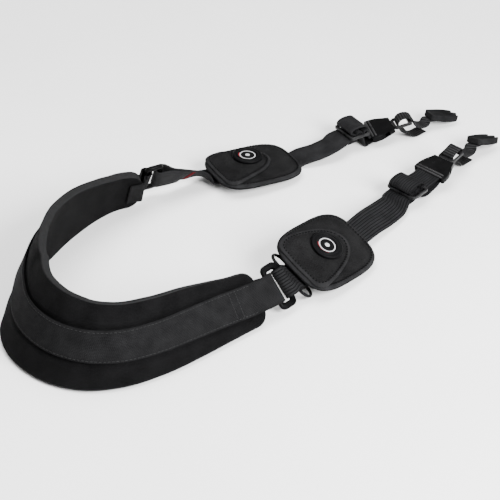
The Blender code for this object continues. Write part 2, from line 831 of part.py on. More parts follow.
FRAME_WRAPS = {
    # over the frame at each buckle's narrow end and down through its slot: along, up
    "near": ((3.3, -1.2), (3.3, 1.4), (2.3, 3.6), (0.3, 4.7), (-3.0, 4.7), (-7.0, 3.9), (-10.3, 2.8), (-11.3, 0.9),
             (-11.3, -1.2), (-10.2, -3.2)),
    "far": ((3.3, -1.2), (3.3, 1.4), (1.6, 3.9), (-1.8, 5.6), (-5.5, 6.1), (-9.0, 5.1), (-10.9, 2.9), (-11.3, 0.6),
            (-11.3, -1.6), (-10.8, -3.6)),
}

TAIL_DROPS = {
    # the free tail below that slot, from the same bar: along, up
    "near": ((-6.5, -5.6), (-2.5, -9.0)),
    "far": ((-9.3, -6.6), (-6.0, -9.5)),
}


def arm_webbing(side, mat, collection):
    """Round the connector ring, under the pouch, over the triglide, round the buckle bar and back under."""
    pocket = side + "_pouch"
    tri = side + "_triglide"
    hook = side + "_buckle"
    turn = -2.0 if side == "near" else 2.0
    route = [at(pocket, u, v, t) for u, v, t in INNER_END[side]]
    route += [at(side + name, 0.0, v) for name, v in LOWER_LINKS[side]]
    route += ring_fold(side + "_ring", 1, turn)
    route += [at(side + name, 0.0, v) for name, v in UPPER_LINKS[side]]
    route += [at(pocket, u, v, t) for u, v, t in POUCH_RUN[side]]
    route += [at(side + "_arm_%d" % k, 0.0, 0.0) for k in (1, 2, 3)]
    route += [at(tri, u, v) for u, v in TRI_IN]
    shift, reach, top = ROLLS[side]
    route += [at(tri, u * reach + shift, v * top) for u, v in ROLL_SHAPE]
    route += [at(tri, u, v) for u, v in TRI_OUT]
    route.append(at(tri, *HOOK_LEADS[side]))
    route.append(at(hook, *HOOK_ENTRIES[side]))
    route += [at(hook, u, v) for u, v in BAR_WRAP]
    route += [at(tri, *row) for row in RETURNS[side]]
    route += [at(tri, u, v) for u, v in TRI_BACK]
    return webbing(side + "_arm_webbing", route, WEB_W, WEB_T, mat, collection)


def narrow_webbing(side, mat, collection):
    """From the end plug's bar to the buckle's narrow end, over its bar, down through the slot and out as a tail."""
    hook = side + "_buckle"
    route = [at(side + "_plug", u, v) for u, v in END_WRAP]
    route += [at(side + name, 0.0, 0.0) for name in ("_strap_2", "_strap_1")]
    route += [at(hook, BUCKLE_END + u, v) for u, v in FRAME_WRAPS[side] + TAIL_DROPS[side]]
    route += [at(side + name, 0.0, 0.0) for name in ("_tail_1", "_tail_2")]
    return webbing(side + "_narrow_webbing", route, NARROW_W, NARROW_T, mat, collection)


def centre(collection):
    """Moves everything so that the object is centred on the origin with its lowest point at zero."""
    bpy.context.view_layer.update()
    graph = bpy.context.evaluated_depsgraph_get()
    places = []
    for obj in collection.objects:
        shown = obj.evaluated_get(graph)
        mesh = shown.to_mesh()
        places += [shown.matrix_world @ vertex.co for vertex in mesh.vertices]
        shown.to_mesh_clear()
    places = np.array(places)
    low = places.min(axis=0)
    high = places.max(axis=0)
    shift = Matrix.Translation((-(low[0] + high[0]) / 2, -(low[1] + high[1]) / 2, -low[2]))
    for obj in bpy.data.objects:
        obj.matrix_world = shift @ obj.matrix_world


def build():
    clear_scene()
    scene = bpy.context.scene
    collection = bpy.data.collections.new(COLLECTION)
    scene.collection.children.link(collection)
    foam = make_material("neoprene", (0.035, 0.036, 0.038), 0.85)
    woven = make_material("webbing", (0.03, 0.03, 0.032), 0.7)
    fabric = make_material("pouch_fabric", (0.028, 0.028, 0.03), 0.8)
    rubber = make_material("badge_rubber", (0.02, 0.02, 0.022), 0.5)
    plastic = make_material("black_plastic", (0.015, 0.015, 0.016), 0.3)
    wire = make_material("coated_wire", (0.02, 0.02, 0.02), 0.3)
    neck_pad(foam, collection)
    pad_webbing(woven, collection)
    wire_ring("near_wire_ring", wire, collection)
    for side in ("near", "far"):
        connector_ring(side + "_connector_ring", side + "_ring", plastic, collection)
        arm_webbing(side, woven, collection)
        pouch(side, fabric, rubber, collection)
        triglide(side + "_triglide", side + "_triglide", plastic, collection)
        buckle_socket(side + "_buckle_socket", side + "_buckle", plastic, collection)
        buckle_plug(side + "_buckle_plug", side + "_buckle", plastic, collection)
        narrow_webbing(side, woven, collection)
        end_plug(side + "_end_plug", side + "_plug", plastic, collection)
    centre(collection)


build()
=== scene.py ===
"""The camera neck strap, dressed: webbing, foam pad, pouches, badges, plastic fittings and stitches.

Tables are in millimetres, in the same frame as the part's source before it is centred; SHIFT centres them.
"""
import math

import bmesh
import bpy
import numpy as np
from mathutils import Matrix, Vector, noise


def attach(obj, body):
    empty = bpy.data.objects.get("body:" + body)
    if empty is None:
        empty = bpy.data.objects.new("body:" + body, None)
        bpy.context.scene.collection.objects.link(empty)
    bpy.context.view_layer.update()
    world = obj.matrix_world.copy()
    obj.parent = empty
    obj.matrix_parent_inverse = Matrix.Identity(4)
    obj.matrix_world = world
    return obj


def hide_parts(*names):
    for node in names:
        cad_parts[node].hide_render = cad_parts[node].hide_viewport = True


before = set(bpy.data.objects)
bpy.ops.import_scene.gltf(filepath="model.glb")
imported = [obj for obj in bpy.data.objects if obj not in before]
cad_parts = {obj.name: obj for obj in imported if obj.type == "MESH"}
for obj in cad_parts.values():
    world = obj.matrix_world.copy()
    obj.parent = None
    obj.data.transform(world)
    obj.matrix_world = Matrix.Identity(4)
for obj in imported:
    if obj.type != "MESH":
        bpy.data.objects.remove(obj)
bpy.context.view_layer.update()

MM = 0.001
SHIFT = np.array([-19.407, -22.686, 0.694])  # centres the tables' frame on the part's own

# ---- sizes, in millimetres ----
PAD_T = 7.0
PAD_CORNER = 11.0
BAND_GAP = 0.8  # between the pad's face and the band
WEB_W = 25.0
WEB_T = 1.4
SELVEDGE = 0.35  # how far a webbing's round edges reach past its flat faces
NEAR_RIBS = 10  # ribs along the near arm's webbing
RIB_DEPTH = 0.35
RIB_GROOVE = 0.13  # half a groove's width, as a share of a rib's pitch
NARROW_W = 12.5
NARROW_T = 1.2
RING_W = 17.0
RING_HOLE_W = 9.0
FOLD_R = 4.2  # the webbing's bend round a ring's bar
FOLD_LEAD = 2.0
WIRE_L = 44.0
WIRE_W = 15.5
WIRE_FLAT = 0.4  # half the straight at the oval's narrow ends
WIRE_R = 1.3
WIRE_ROOM = 1.4
WIRE_ROLL = 4.5
WIRE_PLACE = (-38.5, 0.2)  # its middle in the near pouch's frame: along, across
POUCH_LOWER_PLY = -7.9  # the near arm's lower ply in the same frame: up
POUCH_L = 80.0
POUCH_W = 61.0
POUCH_HALF_T = 5.0
POUCH_POWER = 3.4  # of the superellipse that the pouch's outline is
FLAP_T = 2.6
GAP = 0.3
UNDER_PLY = -(POUCH_HALF_T + GAP + WEB_T / 2)  # the webbing against a pouch's underside
BUCKLE_END = 37.0  # the narrow end's bar, along from the wide end's
SOCKET_HALF_T = 3.2
FLAP_SHIFT = {"near": 0.0, "far": -3.7}  # how far the flap's point moves along
FLAP_FIXED = -34.0  # from here along, that shift sets in, over FLAP_BLEND
FLAP_BLEND = 20.0
BADGE_LIFT = 0.2
BADGE_PLACE = {"near": (-3.7, 1.0), "far": (-3.6, 5.6)}
RIM_THINNING = 0.64  # how much of its thickness the pouch loses at its rim, as a share
THINNING_POWER = 4  # how late towards the rim it sets in
RIM_BAND = 4.0  # width of the rim's tape
RIM_FROM = 0.4  # height from which a face belongs to that tape
SEWN_FROM = -22.0  # from here along, towards the sewn end, the flap is pressed thinner
SEWN_LENGTH = 14.0
SEWN_PRESS = 0.62
RIM_SIZE = (POUCH_L + 3.0, POUCH_W + 3.6)  # the pouch with its sewn rim, along and across

PAD_ROWS = (
    # x, y, lean, width
    (14.0, -102.0, 36.0, 44.0), (3.8, -109.9, 35.5, 44.6), (-11.8, -123.1, 33.4, 48.6),
    (-35.6, -143.1, 26.4, 55.2), (-63.7, -164.3, 21.6, 60.2), (-92.7, -179.1, 21.2, 64.1),
    (-119.2, -182.9, 22.0, 68.4), (-145.4, -175.3, 23.0, 71.9), (-167.5, -158.0, 24.7, 74.8),
    (-182.3, -136.8, 27.2, 77.4), (-189.3, -112.8, 28.1, 78.1), (-188.9, -91.5, 25.2, 76.8),
    (-187.3, -64.9, 24.1, 75.1), (-180.4, -37.1, 22.4, 73.5), (-167.6, -12.0, 20.3, 70.7),
    (-157.5, 10.2, 21.5, 65.6), (-145.9, 30.7, 23.4, 59.7), (-133.3, 48.7, 25.0, 53.8),
    (-117.4, 64.3, 25.3, 48.8), (-99.5, 72.2, 24.0, 45.2),
)

FRAMES = {
    # name: (x, y, z, heading, roll, pitch)
    "near_ring": (22.0, -77.7, 18.5, 47.0, 46.0, 0.0),
    "near_link": (30.3, -65.4, 16.6, 47.5, 31.0, -2.0),
    "near_pouch": (61.8, -30.2, 18.6, 47.8, 23.9, -3.6),
    "near_arm_1": (100.3, 21.6, 13.5, 53.0, 40.0, -4.0),
    "near_arm_2": (113.4, 38.0, 12.0, 55.0, 40.0, -5.0),
    "near_arm_3": (123.6, 55.0, 9.5, 54.0, 25.0, -5.0),
    "near_triglide": (138.0, 80.5, 11.5, 47.0, 3.0, 2.0),
    "near_buckle": (159.7, 104.1, 11.6, 46.0, 2.0, 13.0),
    "near_strap_1": (196.5, 144.5, 9.0, 50.0, 6.0, -25.0),
    "near_strap_2": (201.5, 151.8, 8.3, 53.0, 0.0, 8.0),
    "near_plug": (207.6, 160.8, 13.3, 43.0, -8.5, -17.5),
    "near_tail_1": (190.0, 140.5, 1.6, 38.0, 0.0, -6.0),
    "near_tail_2": (199.5, 150.8, 0.7, 38.0, 0.0, 0.0),
    "far_ring": (-86.0, 77.0, 24.0, 27.0, -58.0, 0.0),
    "far_link_1": (-70.0, 85.0, 20.0, 30.0, -55.0, -10.0),
    "far_link_2": (-59.0, 92.4, 16.4, 32.0, -46.0, -16.0),
    "far_link_3": (-46.0, 100.6, 12.2, 27.0, -35.0, -16.0),
    "far_pouch": (3.0, 121.2, 8.9, 29.3, 1.7, -3.4),
    "far_arm_1": (48.3, 146.4, 5.0, 26.0, 4.0, 6.0),
    "far_arm_2": (61.7, 150.9, 7.4, 30.0, 3.0, 7.0),
    "far_arm_3": (76.0, 159.2, 10.8, 38.0, 0.0, 8.0),
    "far_triglide": (95.6, 179.2, 14.0, 30.0, -1.0, 3.0),
    "far_buckle": (113.2, 187.0, 7.8, 12.0, 0.0, 13.5),
    "far_strap_1": (159.5, 201.0, 7.5, 34.0, 8.0, -30.0),
    "far_strap_2": (165.2, 206.3, 6.3, 38.0, 0.0, 5.0),
    "far_plug": (173.0, 213.0, 11.0, 28.0, -2.0, -15.8),
    "far_tail_1": (150.5, 194.8, 1.4, 32.0, 0.0, -4.0),
    "far_tail_2": (163.0, 204.4, 0.7, 30.0, 0.0, 0.0),
}


# ---- placing ----

def axes(name):
    """Origin, heading, width and upward axes of a named frame, in millimetres, centred."""
    x, y, z, heading, roll, pitch = FRAMES[name]
    h, r, p = (math.radians(v) for v in (heading, roll, pitch))
    along = np.array([math.cos(h) * math.cos(p), math.sin(h) * math.cos(p), math.sin(p)])
    left = np.array([-math.sin(h), math.cos(h), 0.0])
    up = np.cross(along, left)
    across = math.cos(r) * left + math.sin(r) * up
    return np.array([x, y, z]) + SHIFT, along, across, np.cross(along, across)


def at(name, u, v, t=0.0, turn=0.0, flip=False):
    """A webbing station in a frame: u along, t across, v up; turn, in degrees, swings its width."""
    origin, along, across, normal = axes(name)
    k = math.radians(turn)
    side = math.cos(k) * across + math.sin(k) * along
    if flip:
        side = -side
    return np.concatenate([origin + u * along + t * across + v * normal, side])


def in_frame(name, rows):
    """A webbing station for each row: along, up, and if given across and turn."""
    return [at(name, *row) for row in rows]


def place(name, points):
    """Points of a frame's own space as points of the part's."""
    origin, along, across, normal = axes(name)
    points = np.asarray(points, float)
    return origin + points[:, :1] * along + points[:, 1:2] * across + points[:, 2:] * normal


def hermite(keys, values, wanted):
    """Smooth values between uneven keys, through every key."""
    keys = np.asarray(keys, float)
    values = np.asarray(values, float)
    wanted = np.asarray(wanted, float)
    slopes = np.gradient(values, keys, axis=0)
    i = np.clip(np.searchsorted(keys, wanted) - 1, 0, len(keys) - 2)
    span = (keys[i + 1] - keys[i])[:, None]
    f = (wanted - keys[i])[:, None] / span
    a = 2 * f ** 3 - 3 * f ** 2 + 1
    b = f ** 3 - 2 * f ** 2 + f
    c = -2 * f ** 3 + 3 * f ** 2
    d = f ** 3 - f ** 2
    return a * values[i] + b * span * slopes[i] + c * values[i + 1] + d * span * slopes[i + 1]


def distances(points):
    """Running length along a row of points."""
    steps = np.linalg.norm(np.diff(points, axis=0), axis=1)
    return np.concatenate([[0.0], np.cumsum(steps)])


def unit(v):
    return v / np.linalg.norm(v, axis=-1, keepdims=True)


BEND_DEG = 7.0  # the most that a route turns from one section to the next


def smooth_route(stations, longest=3.0):
    """Stations made fine: centres, sides, upward normals and running length."""
    stations = np.array(stations)
    keys = distances(stations[:, :3])
    fine = [keys[0]]
    for i in range(len(keys) - 1):
        probe = hermite(keys, stations, np.linspace(keys[i], keys[i + 1], 9))
        steps = unit(np.diff(probe[:, :3], axis=0))
        turned = np.degrees(np.sum(np.arccos(np.clip(np.sum(steps[1:] * steps[:-1], axis=1), -1, 1))))
        count = math.ceil(max(turned / BEND_DEG, (keys[i + 1] - keys[i]) / longest, 1.0))
        fine.extend(np.linspace(keys[i], keys[i + 1], count + 1)[1:])
    route = hermite(keys, stations, fine)
    centres = route[:, :3]
    tangents = unit(np.gradient(centres, fine, axis=0))
    sides = route[:, 3:]
    sides = unit(sides - np.sum(sides * tangents, axis=1)[:, None] * tangents)
    return centres, sides, np.cross(tangents, sides), np.array(fine)


# ---- meshes ----

MERGE_M = 2e-6
FLAT_DEG = 1.5  # faces that meet within this are one


def new_object(name, data):
    obj = bpy.data.objects.new(name, data)
    bpy.context.scene.collection.objects.link(obj)
    return obj


def settle(mesh, weld=False):
    """Turns a mesh's faces outward and smooth; weld first joins its points and what lies flat."""
    bm = bmesh.new()
    bm.from_mesh(mesh)
    if weld:
        bmesh.ops.remove_doubles(bm, verts=bm.verts, dist=MERGE_M)
        bmesh.ops.dissolve_limit(bm, angle_limit=math.radians(FLAT_DEG), verts=bm.verts, edges=bm.edges)
    bmesh.ops.recalc_face_normals(bm, faces=bm.faces)
    bm.to_mesh(mesh)
    bm.free()
    mesh.polygons.foreach_set("use_smooth", [True] * len(mesh.polygons))


def mesh_of(name, points, faces, mats, uvs=None, face_mats=None):
    """A smooth mesh object from millimetre points, its normals outward, with a map in metres."""
    mesh = bpy.data.meshes.new(name)
    mesh.from_pydata([tuple(float(c) * MM for c in p) for p in points], [], faces)
    for mat in mats:
        mesh.materials.append(mat)
    if face_mats is not None:
        mesh.polygons.foreach_set("material_index", face_mats)
    settle(mesh)
    if uvs is not None:
        layer = mesh.uv_layers.new(name="UVMap")
        index = np.zeros(len(mesh.loops), int)
        mesh.loops.foreach_get("vertex_index", index)
        layer.data.foreach_set("uv", (np.asarray(uvs)[index] * MM).ravel())
    return new_object(name, mesh)


def tube_faces(rows, around, closed=False, start=0):
    """Faces of rows of rings, from vertex start; closed joins the last row to the first."""
    faces = []
    for r in range(rows if closed else rows - 1):
        for k in range(around):
            a = start + r * around + k
            b = start + r * around + (k + 1) % around
            c = start + ((r + 1) % rows) * around + (k + 1) % around
            d = start + ((r + 1) % rows) * around + k
            faces.append((a, b, c, d))
    return faces


def closed_tube(rows, around, start=0):
    """The same with a face on either end."""
    last = start + (rows - 1) * around
    ends = [tuple(range(start, start + around))[::-1], tuple(range(last, last + around))]
    return tube_faces(rows, around, start=start) + ends


def capped_rings(rings, caps):
    """Points and faces of stacked rings, the first and last closed round a cap's point."""
    around = len(rings[0])
    points = [p for ring in rings for p in ring]
    faces = tube_faces(len(rings), around)
    for row, cap in zip((0, len(rings) - 1), caps):
        faces += [(row * around + k, row * around + (k + 1) % around, len(points)) for k in range(around)]
        points.append(cap)
    return np.array(points), faces


def strip_profile(width, thickness, ribs, rib_height):
    """Across and up for each point round a webbing's section; its faces may be ribbed along their length."""
    columns = max(8, ribs * 8)
    inner = width / 2 - SELVEDGE
    xs = np.linspace(-inner, inner, columns + 1)
    top = np.full(xs.shape, thickness / 2)
    if ribs:
        phase = ribs * (xs + inner) / (2 * inner)
        from_groove = np.abs(phase - np.round(phase))
        top -= rib_height * np.exp(-(from_groove / RIB_GROOVE) ** 2)
    upper = list(zip(xs, top))
    lower = [(x, -z) for x, z in upper[::-1]]
    return np.array(upper + [(width / 2, 0.0)] + lower + [(-width / 2, 0.0)])


def strip(name, stations, width, thickness, mat, ribs=0, rib_height=0.0, longest=3.0):
    """A flat woven strip along a route, with rounded selvedges."""
    centres, sides, normals, run = smooth_route(stations, longest=longest)
    profile = strip_profile(width, thickness, ribs, rib_height)
    around = len(profile)
    points = centres[:, None] + profile[None, :, :1] * sides[:, None]
    points = points + profile[None, :, 1:] * normals[:, None]
    uvs = np.stack(np.broadcast_arrays(run[:, None], profile[None, :, 0]), axis=-1)
    faces = closed_tube(len(centres), around)
    return mesh_of(name, points.reshape(-1, 3), faces, [mat], uvs.reshape(-1, 2))


def wobble(points, scale, height):
    """Soft uneven lifts, in millimetres, for each point."""
    return np.array([height * noise.noise(Vector(p) / scale) for p in points])


def nearest(values, wanted):
    return int(np.argmin(np.abs(values - wanted)))


def finish(obj, node=None):
    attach(obj, "root")
    if node:
        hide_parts(node)


# ---- stitches ----

THREAD_LIFT = 0.05  # a thread's middle above the cloth

STITCH_ROWS = (
    # along as a share of half the length, thickness as a share, height as a share of the radius
    (-1.0, 0.45, -0.9), (-0.7, 0.95, 0.05), (0.0, 1.0, 0.3), (0.7, 0.95, 0.05), (1.0, 0.45, -0.9),
)


def stitch_line(points, normals, pitch, closed=False, reach=0.5):
    """Evenly spaced places along a path: centre, direction and normal of each stitch."""
    points = np.asarray(points, float)
    normals = np.broadcast_to(np.asarray(normals, float), points.shape)
    if closed:
        points = np.vstack([points, points[:1]])
        normals = np.vstack([normals, normals[:1]])
    keys = distances(points)
    count = int(keys[-1] / pitch)
    offset = (keys[-1] - (count - 1) * pitch) / 2
    wanted = offset + pitch * np.arange(count)

    def at_keys(rows, shift=0.0):
        return np.stack([np.interp(wanted + shift, keys, rows[:, k]) for k in range(3)], axis=1)

    ahead = at_keys(points, reach) - at_keys(points, -reach)
    return list(zip(at_keys(points), unit(ahead), unit(at_keys(normals))))


def stitches(name, places, length, radius, mat):
    """One mesh of short threads that dive into the cloth at both ends."""
    sides = 5
    rows = len(STITCH_ROWS)
    points = []
    faces = []
    uvs = []
    for where, along, up in places:
        across = np.cross(up, along)
        start = len(points)
        for share, thick, lift in STITCH_ROWS:
            for k in range(sides):
                a = 2 * math.pi * k / sides
                around = radius * thick * (math.cos(a) * across + math.sin(a) * up)
                points.append(where + along * share * length / 2 + up * lift * radius + around)
                uvs.append((share * length / 2, k * radius))
        faces += closed_tube(rows, sides, start)
    return mesh_of(name, points, faces, [mat], uvs)


# ---- materials ----

CLOTH_SHINE = 0.04
LOOP_PITCH = 0.8  # of the knit
KNIT_ROUGHNESS = (0.86, 0.98)
MOULDED_SHINE = 0.025
MOULDED_BUMP = 0.00005
TO_MM = (1000.0, 1000.0, 1000.0)
RIB_SHADE = (0.12, 0.5)  # painted shade: dark within the first, light beyond the second, from a lengthwise groove
ROW_SHADE = (0.2, 0.6)  # the same painted shade for a groove across
PRINT_RING = (6.3, 7.2)  # inner and outer radius of the badge's ring
PRINT_DOT_R = 2.0
PRINT_ARC = (7.5, 8.15)  # inner and outer radius of the red arc
PRINT_ARC_FROM = 2.2  # radians from the badge's heading, on both sides, to the half turn


class Nodes:
    """A short way to wire a material's nodes."""

    def __init__(self, name):
        self.mat = bpy.data.materials.new(name)
        self.mat.use_nodes = True
        self.tree = self.mat.node_tree
        self.shader = self.tree.nodes["Principled BSDF"]

    def add(self, kind, inputs=(), out=0, **settings):
        node = self.tree.nodes.new(kind)
        for key, value in settings.items():
            setattr(node, key, value)
        for key, value in dict(inputs).items():
            self.put(node.inputs[key], value)
        return node.outputs[out]

    def put(self, socket, value):
        if isinstance(value, bpy.types.NodeSocket):
            self.tree.links.new(value, socket)
        else:
            socket.default_value = value

    def math(self, operation, a, b=0.0, c=0.0):
        return self.add("ShaderNodeMath", {0: a, 1: b, 2: c}, operation=operation)

    def plus(self, a, b):
        return self.math("ADD", a, b)

    def times(self, a, b):
        return self.math("MULTIPLY", a, b)

    def noise(self, vector, scale, detail=3.0, roughness=0.55):
        inputs = {"Vector": vector, "Scale": scale, "Detail": detail, "Roughness": roughness}
        return self.add("ShaderNodeTexNoise", inputs)

    def ramp(self, value, low, high, to_low=0.0, to_high=1.0):
        inputs = {"Value": value, "From Min": low, "From Max": high, "To Min": to_low, "To Max": to_high}
        return self.add("ShaderNodeMapRange", inputs)

    def blend(self, factor, a, b):
        node = self.tree.nodes.new("ShaderNodeMix")
        node.data_type = "RGBA"
        self.put(node.inputs["Factor"], factor)
        for key, value in (("A", a), ("B", b)):
            socket = [s for s in node.inputs if s.name == key and s.type == "RGBA"][0]
            self.put(socket, value if isinstance(value, bpy.types.NodeSocket) else (*value, 1.0))
        return [s for s in node.outputs if s.type == "RGBA"][0]

    def surface(self, **values):
        for key, value in values.items():
            self.put(self.shader.inputs[key.replace("_", " ")], value)

    def soft(self, value, low, high):
        """A noise's middle range as values from low to high."""
        return self.ramp(value, 0.3, 0.7, low, high)

    def done(self, colour, roughness, shine, height, depth, strength=1.0):
        """Colour, roughness, shine and bump; gives the material."""
        self.surface(Base_Color=colour, Roughness=roughness, Specular_IOR_Level=shine)
        inputs = {"Height": height, "Distance": depth, "Strength": strength}
        self.put(self.shader.inputs["Normal"], self.add("ShaderNodeBump", inputs))
        return self.mat

    def map_mm(self):
        """Along and across on the piece's own map, in millimetres."""
        uv = self.add("ShaderNodeTexCoord", out=2)
        scaled = self.add("ShaderNodeVectorMath", {0: uv, 1: TO_MM}, operation="MULTIPLY")
        split = self.tree.nodes.new("ShaderNodeSeparateXYZ")
        self.put(split.inputs[0], scaled)
        return scaled, split.outputs[0], split.outputs[1]

    def place_mm(self):
        """The point's place on the object, in millimetres."""
        where = self.add("ShaderNodeTexCoord", out=3)
        return self.add("ShaderNodeVectorMath", {0: where, 1: TO_MM}, operation="MULTIPLY")


def woven(name, dark, light, warp, weft, chevron, bump, roughness, ribs=0, rows=0.0):
    """Webbing: threads warp apart across and weft apart along, slanting into chevrons, a little dusty.

    ribs counts lengthwise ribs, with painted shade darkening the grooves between them. rows is the pitch of
    grooves across, darkened by painted shade the same way.
    """
    n = Nodes(name)
    vector, along, across = n.map_mm()
    slant = n.times(n.math("PINGPONG", across, chevron), 1.0 / chevron)
    row = n.math("SINE", n.times(n.plus(n.math("DIVIDE", along, weft), slant), 2 * math.pi))
    column = n.math("ABSOLUTE", n.math("SINE", n.times(n.math("DIVIDE", across, warp), math.pi)))
    thread = n.times(n.math("MULTIPLY_ADD", row, 0.35, 0.65), column)
    grain = n.noise(vector, 1.3, 4.0, 0.6)
    cloud = n.noise(vector, 0.09, 3.0, 0.6)
    tone = n.plus(n.times(thread, 0.45), n.times(grain, 0.4))
    tone = n.plus(tone, n.soft(cloud, -0.12, 0.2))
    height = n.plus(thread, n.times(grain, 0.5))
    groove_depths_and_shades = []
    if ribs:
        half_pitch = (WEB_W - 2 * SELVEDGE) / ribs / 2
        shifted = n.plus(across, WEB_W / 2 - SELVEDGE)
        groove_depths_and_shades.append(n.ramp(n.math("PINGPONG", shifted, half_pitch), *RIB_SHADE))
    if rows:
        groove_depths_and_shades.append(n.ramp(n.math("PINGPONG", along, rows / 2), *ROW_SHADE, 0.1, 1.0))
    # painted shade: darker tone in each groove; the same mask deepens the bump
    for groove_depth_and_shade in groove_depths_and_shades:
        tone = n.times(tone, groove_depth_and_shade)
        height = n.plus(height, n.times(groove_depth_and_shade, 1.5))
    colour = n.blend(n.ramp(tone, 0.1, 0.9), dark, light)
    return n.done(colour, n.soft(grain, roughness - 0.08, roughness + 0.08), CLOTH_SHINE, height, bump)


def knit(name, dark, light, bump):
    """A fine jersey over foam: tiny rows of loops and a soft, slightly pilled surface."""
    n = Nodes(name)
    vector, along, across = n.map_mm()
    leg = n.times(n.math("PINGPONG", across, LOOP_PITCH / 2), 2.0 / LOOP_PITCH)
    loop = n.math("SINE", n.times(n.plus(n.math("DIVIDE", along, LOOP_PITCH), leg), 2 * math.pi))
    grain = n.noise(vector, 0.9, 5.0, 0.65)
    cloud = n.noise(vector, 0.05, 3.0, 0.55)
    tone = n.plus(n.times(loop, 0.12), grain)
    tone = n.plus(tone, n.soft(cloud, -0.15, 0.15))
    colour = n.blend(n.ramp(tone, 0.2, 0.85), dark, light)
    height = n.plus(n.times(loop, 0.4), n.times(grain, 1.2))
    return n.done(colour, n.soft(grain, *KNIT_ROUGHNESS), CLOTH_SHINE, height, bump)


def foam(name, dark, light):
    """The cut edge of the foam, with fine open cells."""
    n = Nodes(name)
    where = n.place_mm()
    cells = n.add("ShaderNodeTexVoronoi", {"Vector": where, "Scale": 1.6})
    grain = n.noise(where, 0.5, 5.0, 0.65)
    tone = n.plus(n.times(cells, 0.5), grain)
    colour = n.blend(n.ramp(tone, 0.3, 1.1), dark, light)
    return n.done(colour, n.soft(grain, 0.8, 0.95), CLOTH_SHINE, n.plus(cells, grain), 0.00018)


def moulded(name, dark, light, roughness, grain_size, shine):
    """Moulded plastic or rubber: faint grain, a slightly uneven sheen and edges painted paler as a highlight,
    broken up by noise.
    """
    n = Nodes(name)
    where = n.place_mm()
    grain = n.noise(where, grain_size, 4.0, 0.6)
    cloud = n.noise(where, 0.12, 3.0, 0.5)
    pointed = n.add("ShaderNodeNewGeometry", out="Pointiness")
    # painted highlight: sharp edges drawn towards the light tone, unevenly; the same mask roughens them a
    # little
    painted_edge_highlight = n.times(n.ramp(pointed, 0.5, 0.58), n.ramp(cloud, 0.35, 0.65, 0.3, 1.0))
    tone = n.plus(n.times(painted_edge_highlight, 0.85), n.soft(grain, 0.0, 0.1))
    rough = n.plus(n.soft(cloud, roughness - 0.06, roughness + 0.08), n.times(painted_edge_highlight, 0.08))
    return n.done(n.blend(tone, dark, light), rough, shine, grain, MOULDED_BUMP, 0.5)


def thread(name, dark, light):
    """Twisted sewing thread."""
    n = Nodes(name)
    vector, along, across = n.map_mm()
    twist = n.math("SINE", n.times(n.plus(along, across), 14.0))
    grain = n.noise(vector, 2.0, 3.0)
    tone = n.plus(n.times(twist, 0.2), grain)
    colour = n.blend(n.ramp(tone, 0.2, 0.9), dark, light)
    return n.done(colour, n.soft(grain, 0.5, 0.65), CLOTH_SHINE, twist, 0.00005)


def badge_face(name, rubber, print_light, print_red):
    """Black rubber with a generic print: a light ring, a light dot in it and a thin red arc outside."""
    n = Nodes(name)
    vector, along, across = n.map_mm()
    radius = n.add("ShaderNodeVectorMath", {0: vector}, out=1, operation="LENGTH")
    grain = n.noise(vector, 1.5, 4.0)

    def band(low, high):
        inside = n.math("GREATER_THAN", radius, low)
        return n.times(inside, n.math("LESS_THAN", radius, high))

    light = n.plus(band(*PRINT_RING), band(-1.0, PRINT_DOT_R))
    angle = n.math("ARCTAN2", across, along)
    turned = n.math("GREATER_THAN", n.math("ABSOLUTE", angle), PRINT_ARC_FROM)
    arc = n.times(band(*PRINT_ARC), turned)
    base = n.blend(n.soft(grain, 0.0, 1.0), rubber, tuple(1.5 * c for c in rubber))
    base = n.blend(light, base, print_light)
    base = n.blend(arc, base, print_red)
    height = n.plus(n.times(n.plus(light, arc), 0.6), n.times(grain, 0.3))
    return n.done(base, n.soft(grain, 0.42, 0.55), MOULDED_SHINE, height, 0.00015)


BLACK_YARN = (0.002, 0.002, 0.0022)

WEBBINGS = {
    # name: light tone, warp, weft, chevron, bump, roughness, ribs, rows
    "band_webbing": ((0.0115, 0.0115, 0.012), 1.1, 1.5, 3.2, 0.0003, 0.8),
    "ribbed_webbing": ((0.017, 0.017, 0.018), 1.25, 1.3, 2.6, 0.0002, 0.7, NEAR_RIBS),
    "smooth_webbing": ((0.018, 0.018, 0.019), 0.9, 1.2, 2.4, 0.0002, 0.7),
    "narrow_cloth": ((0.034, 0.034, 0.035), 0.9, 1.1, 1.8, 0.0002, 0.7, 0, 2.3),
}

MOULDINGS = {
    # name: dark tone, light tone (grain, and the painted highlight on edges), roughness, size of the grain,
    # shine
    "black_acetal": ((0.001, 0.001, 0.0011), (0.008, 0.008, 0.0083), 0.2, 0.6, MOULDED_SHINE),
    # paler light tone: a stronger painted highlight on its edges
    "acetal_painted_highlight": ((0.003, 0.003, 0.0032), (0.04, 0.04, 0.041), 0.25, 0.6, 0.07),
    "matt_acetal": ((0.0035, 0.0035, 0.0037), (0.03, 0.03, 0.031), 0.5, 0.6, 0.0),
    "coated_steel": ((0.0015, 0.0015, 0.0016), (0.01, 0.01, 0.0105), 0.22, 0.4, MOULDED_SHINE),
}

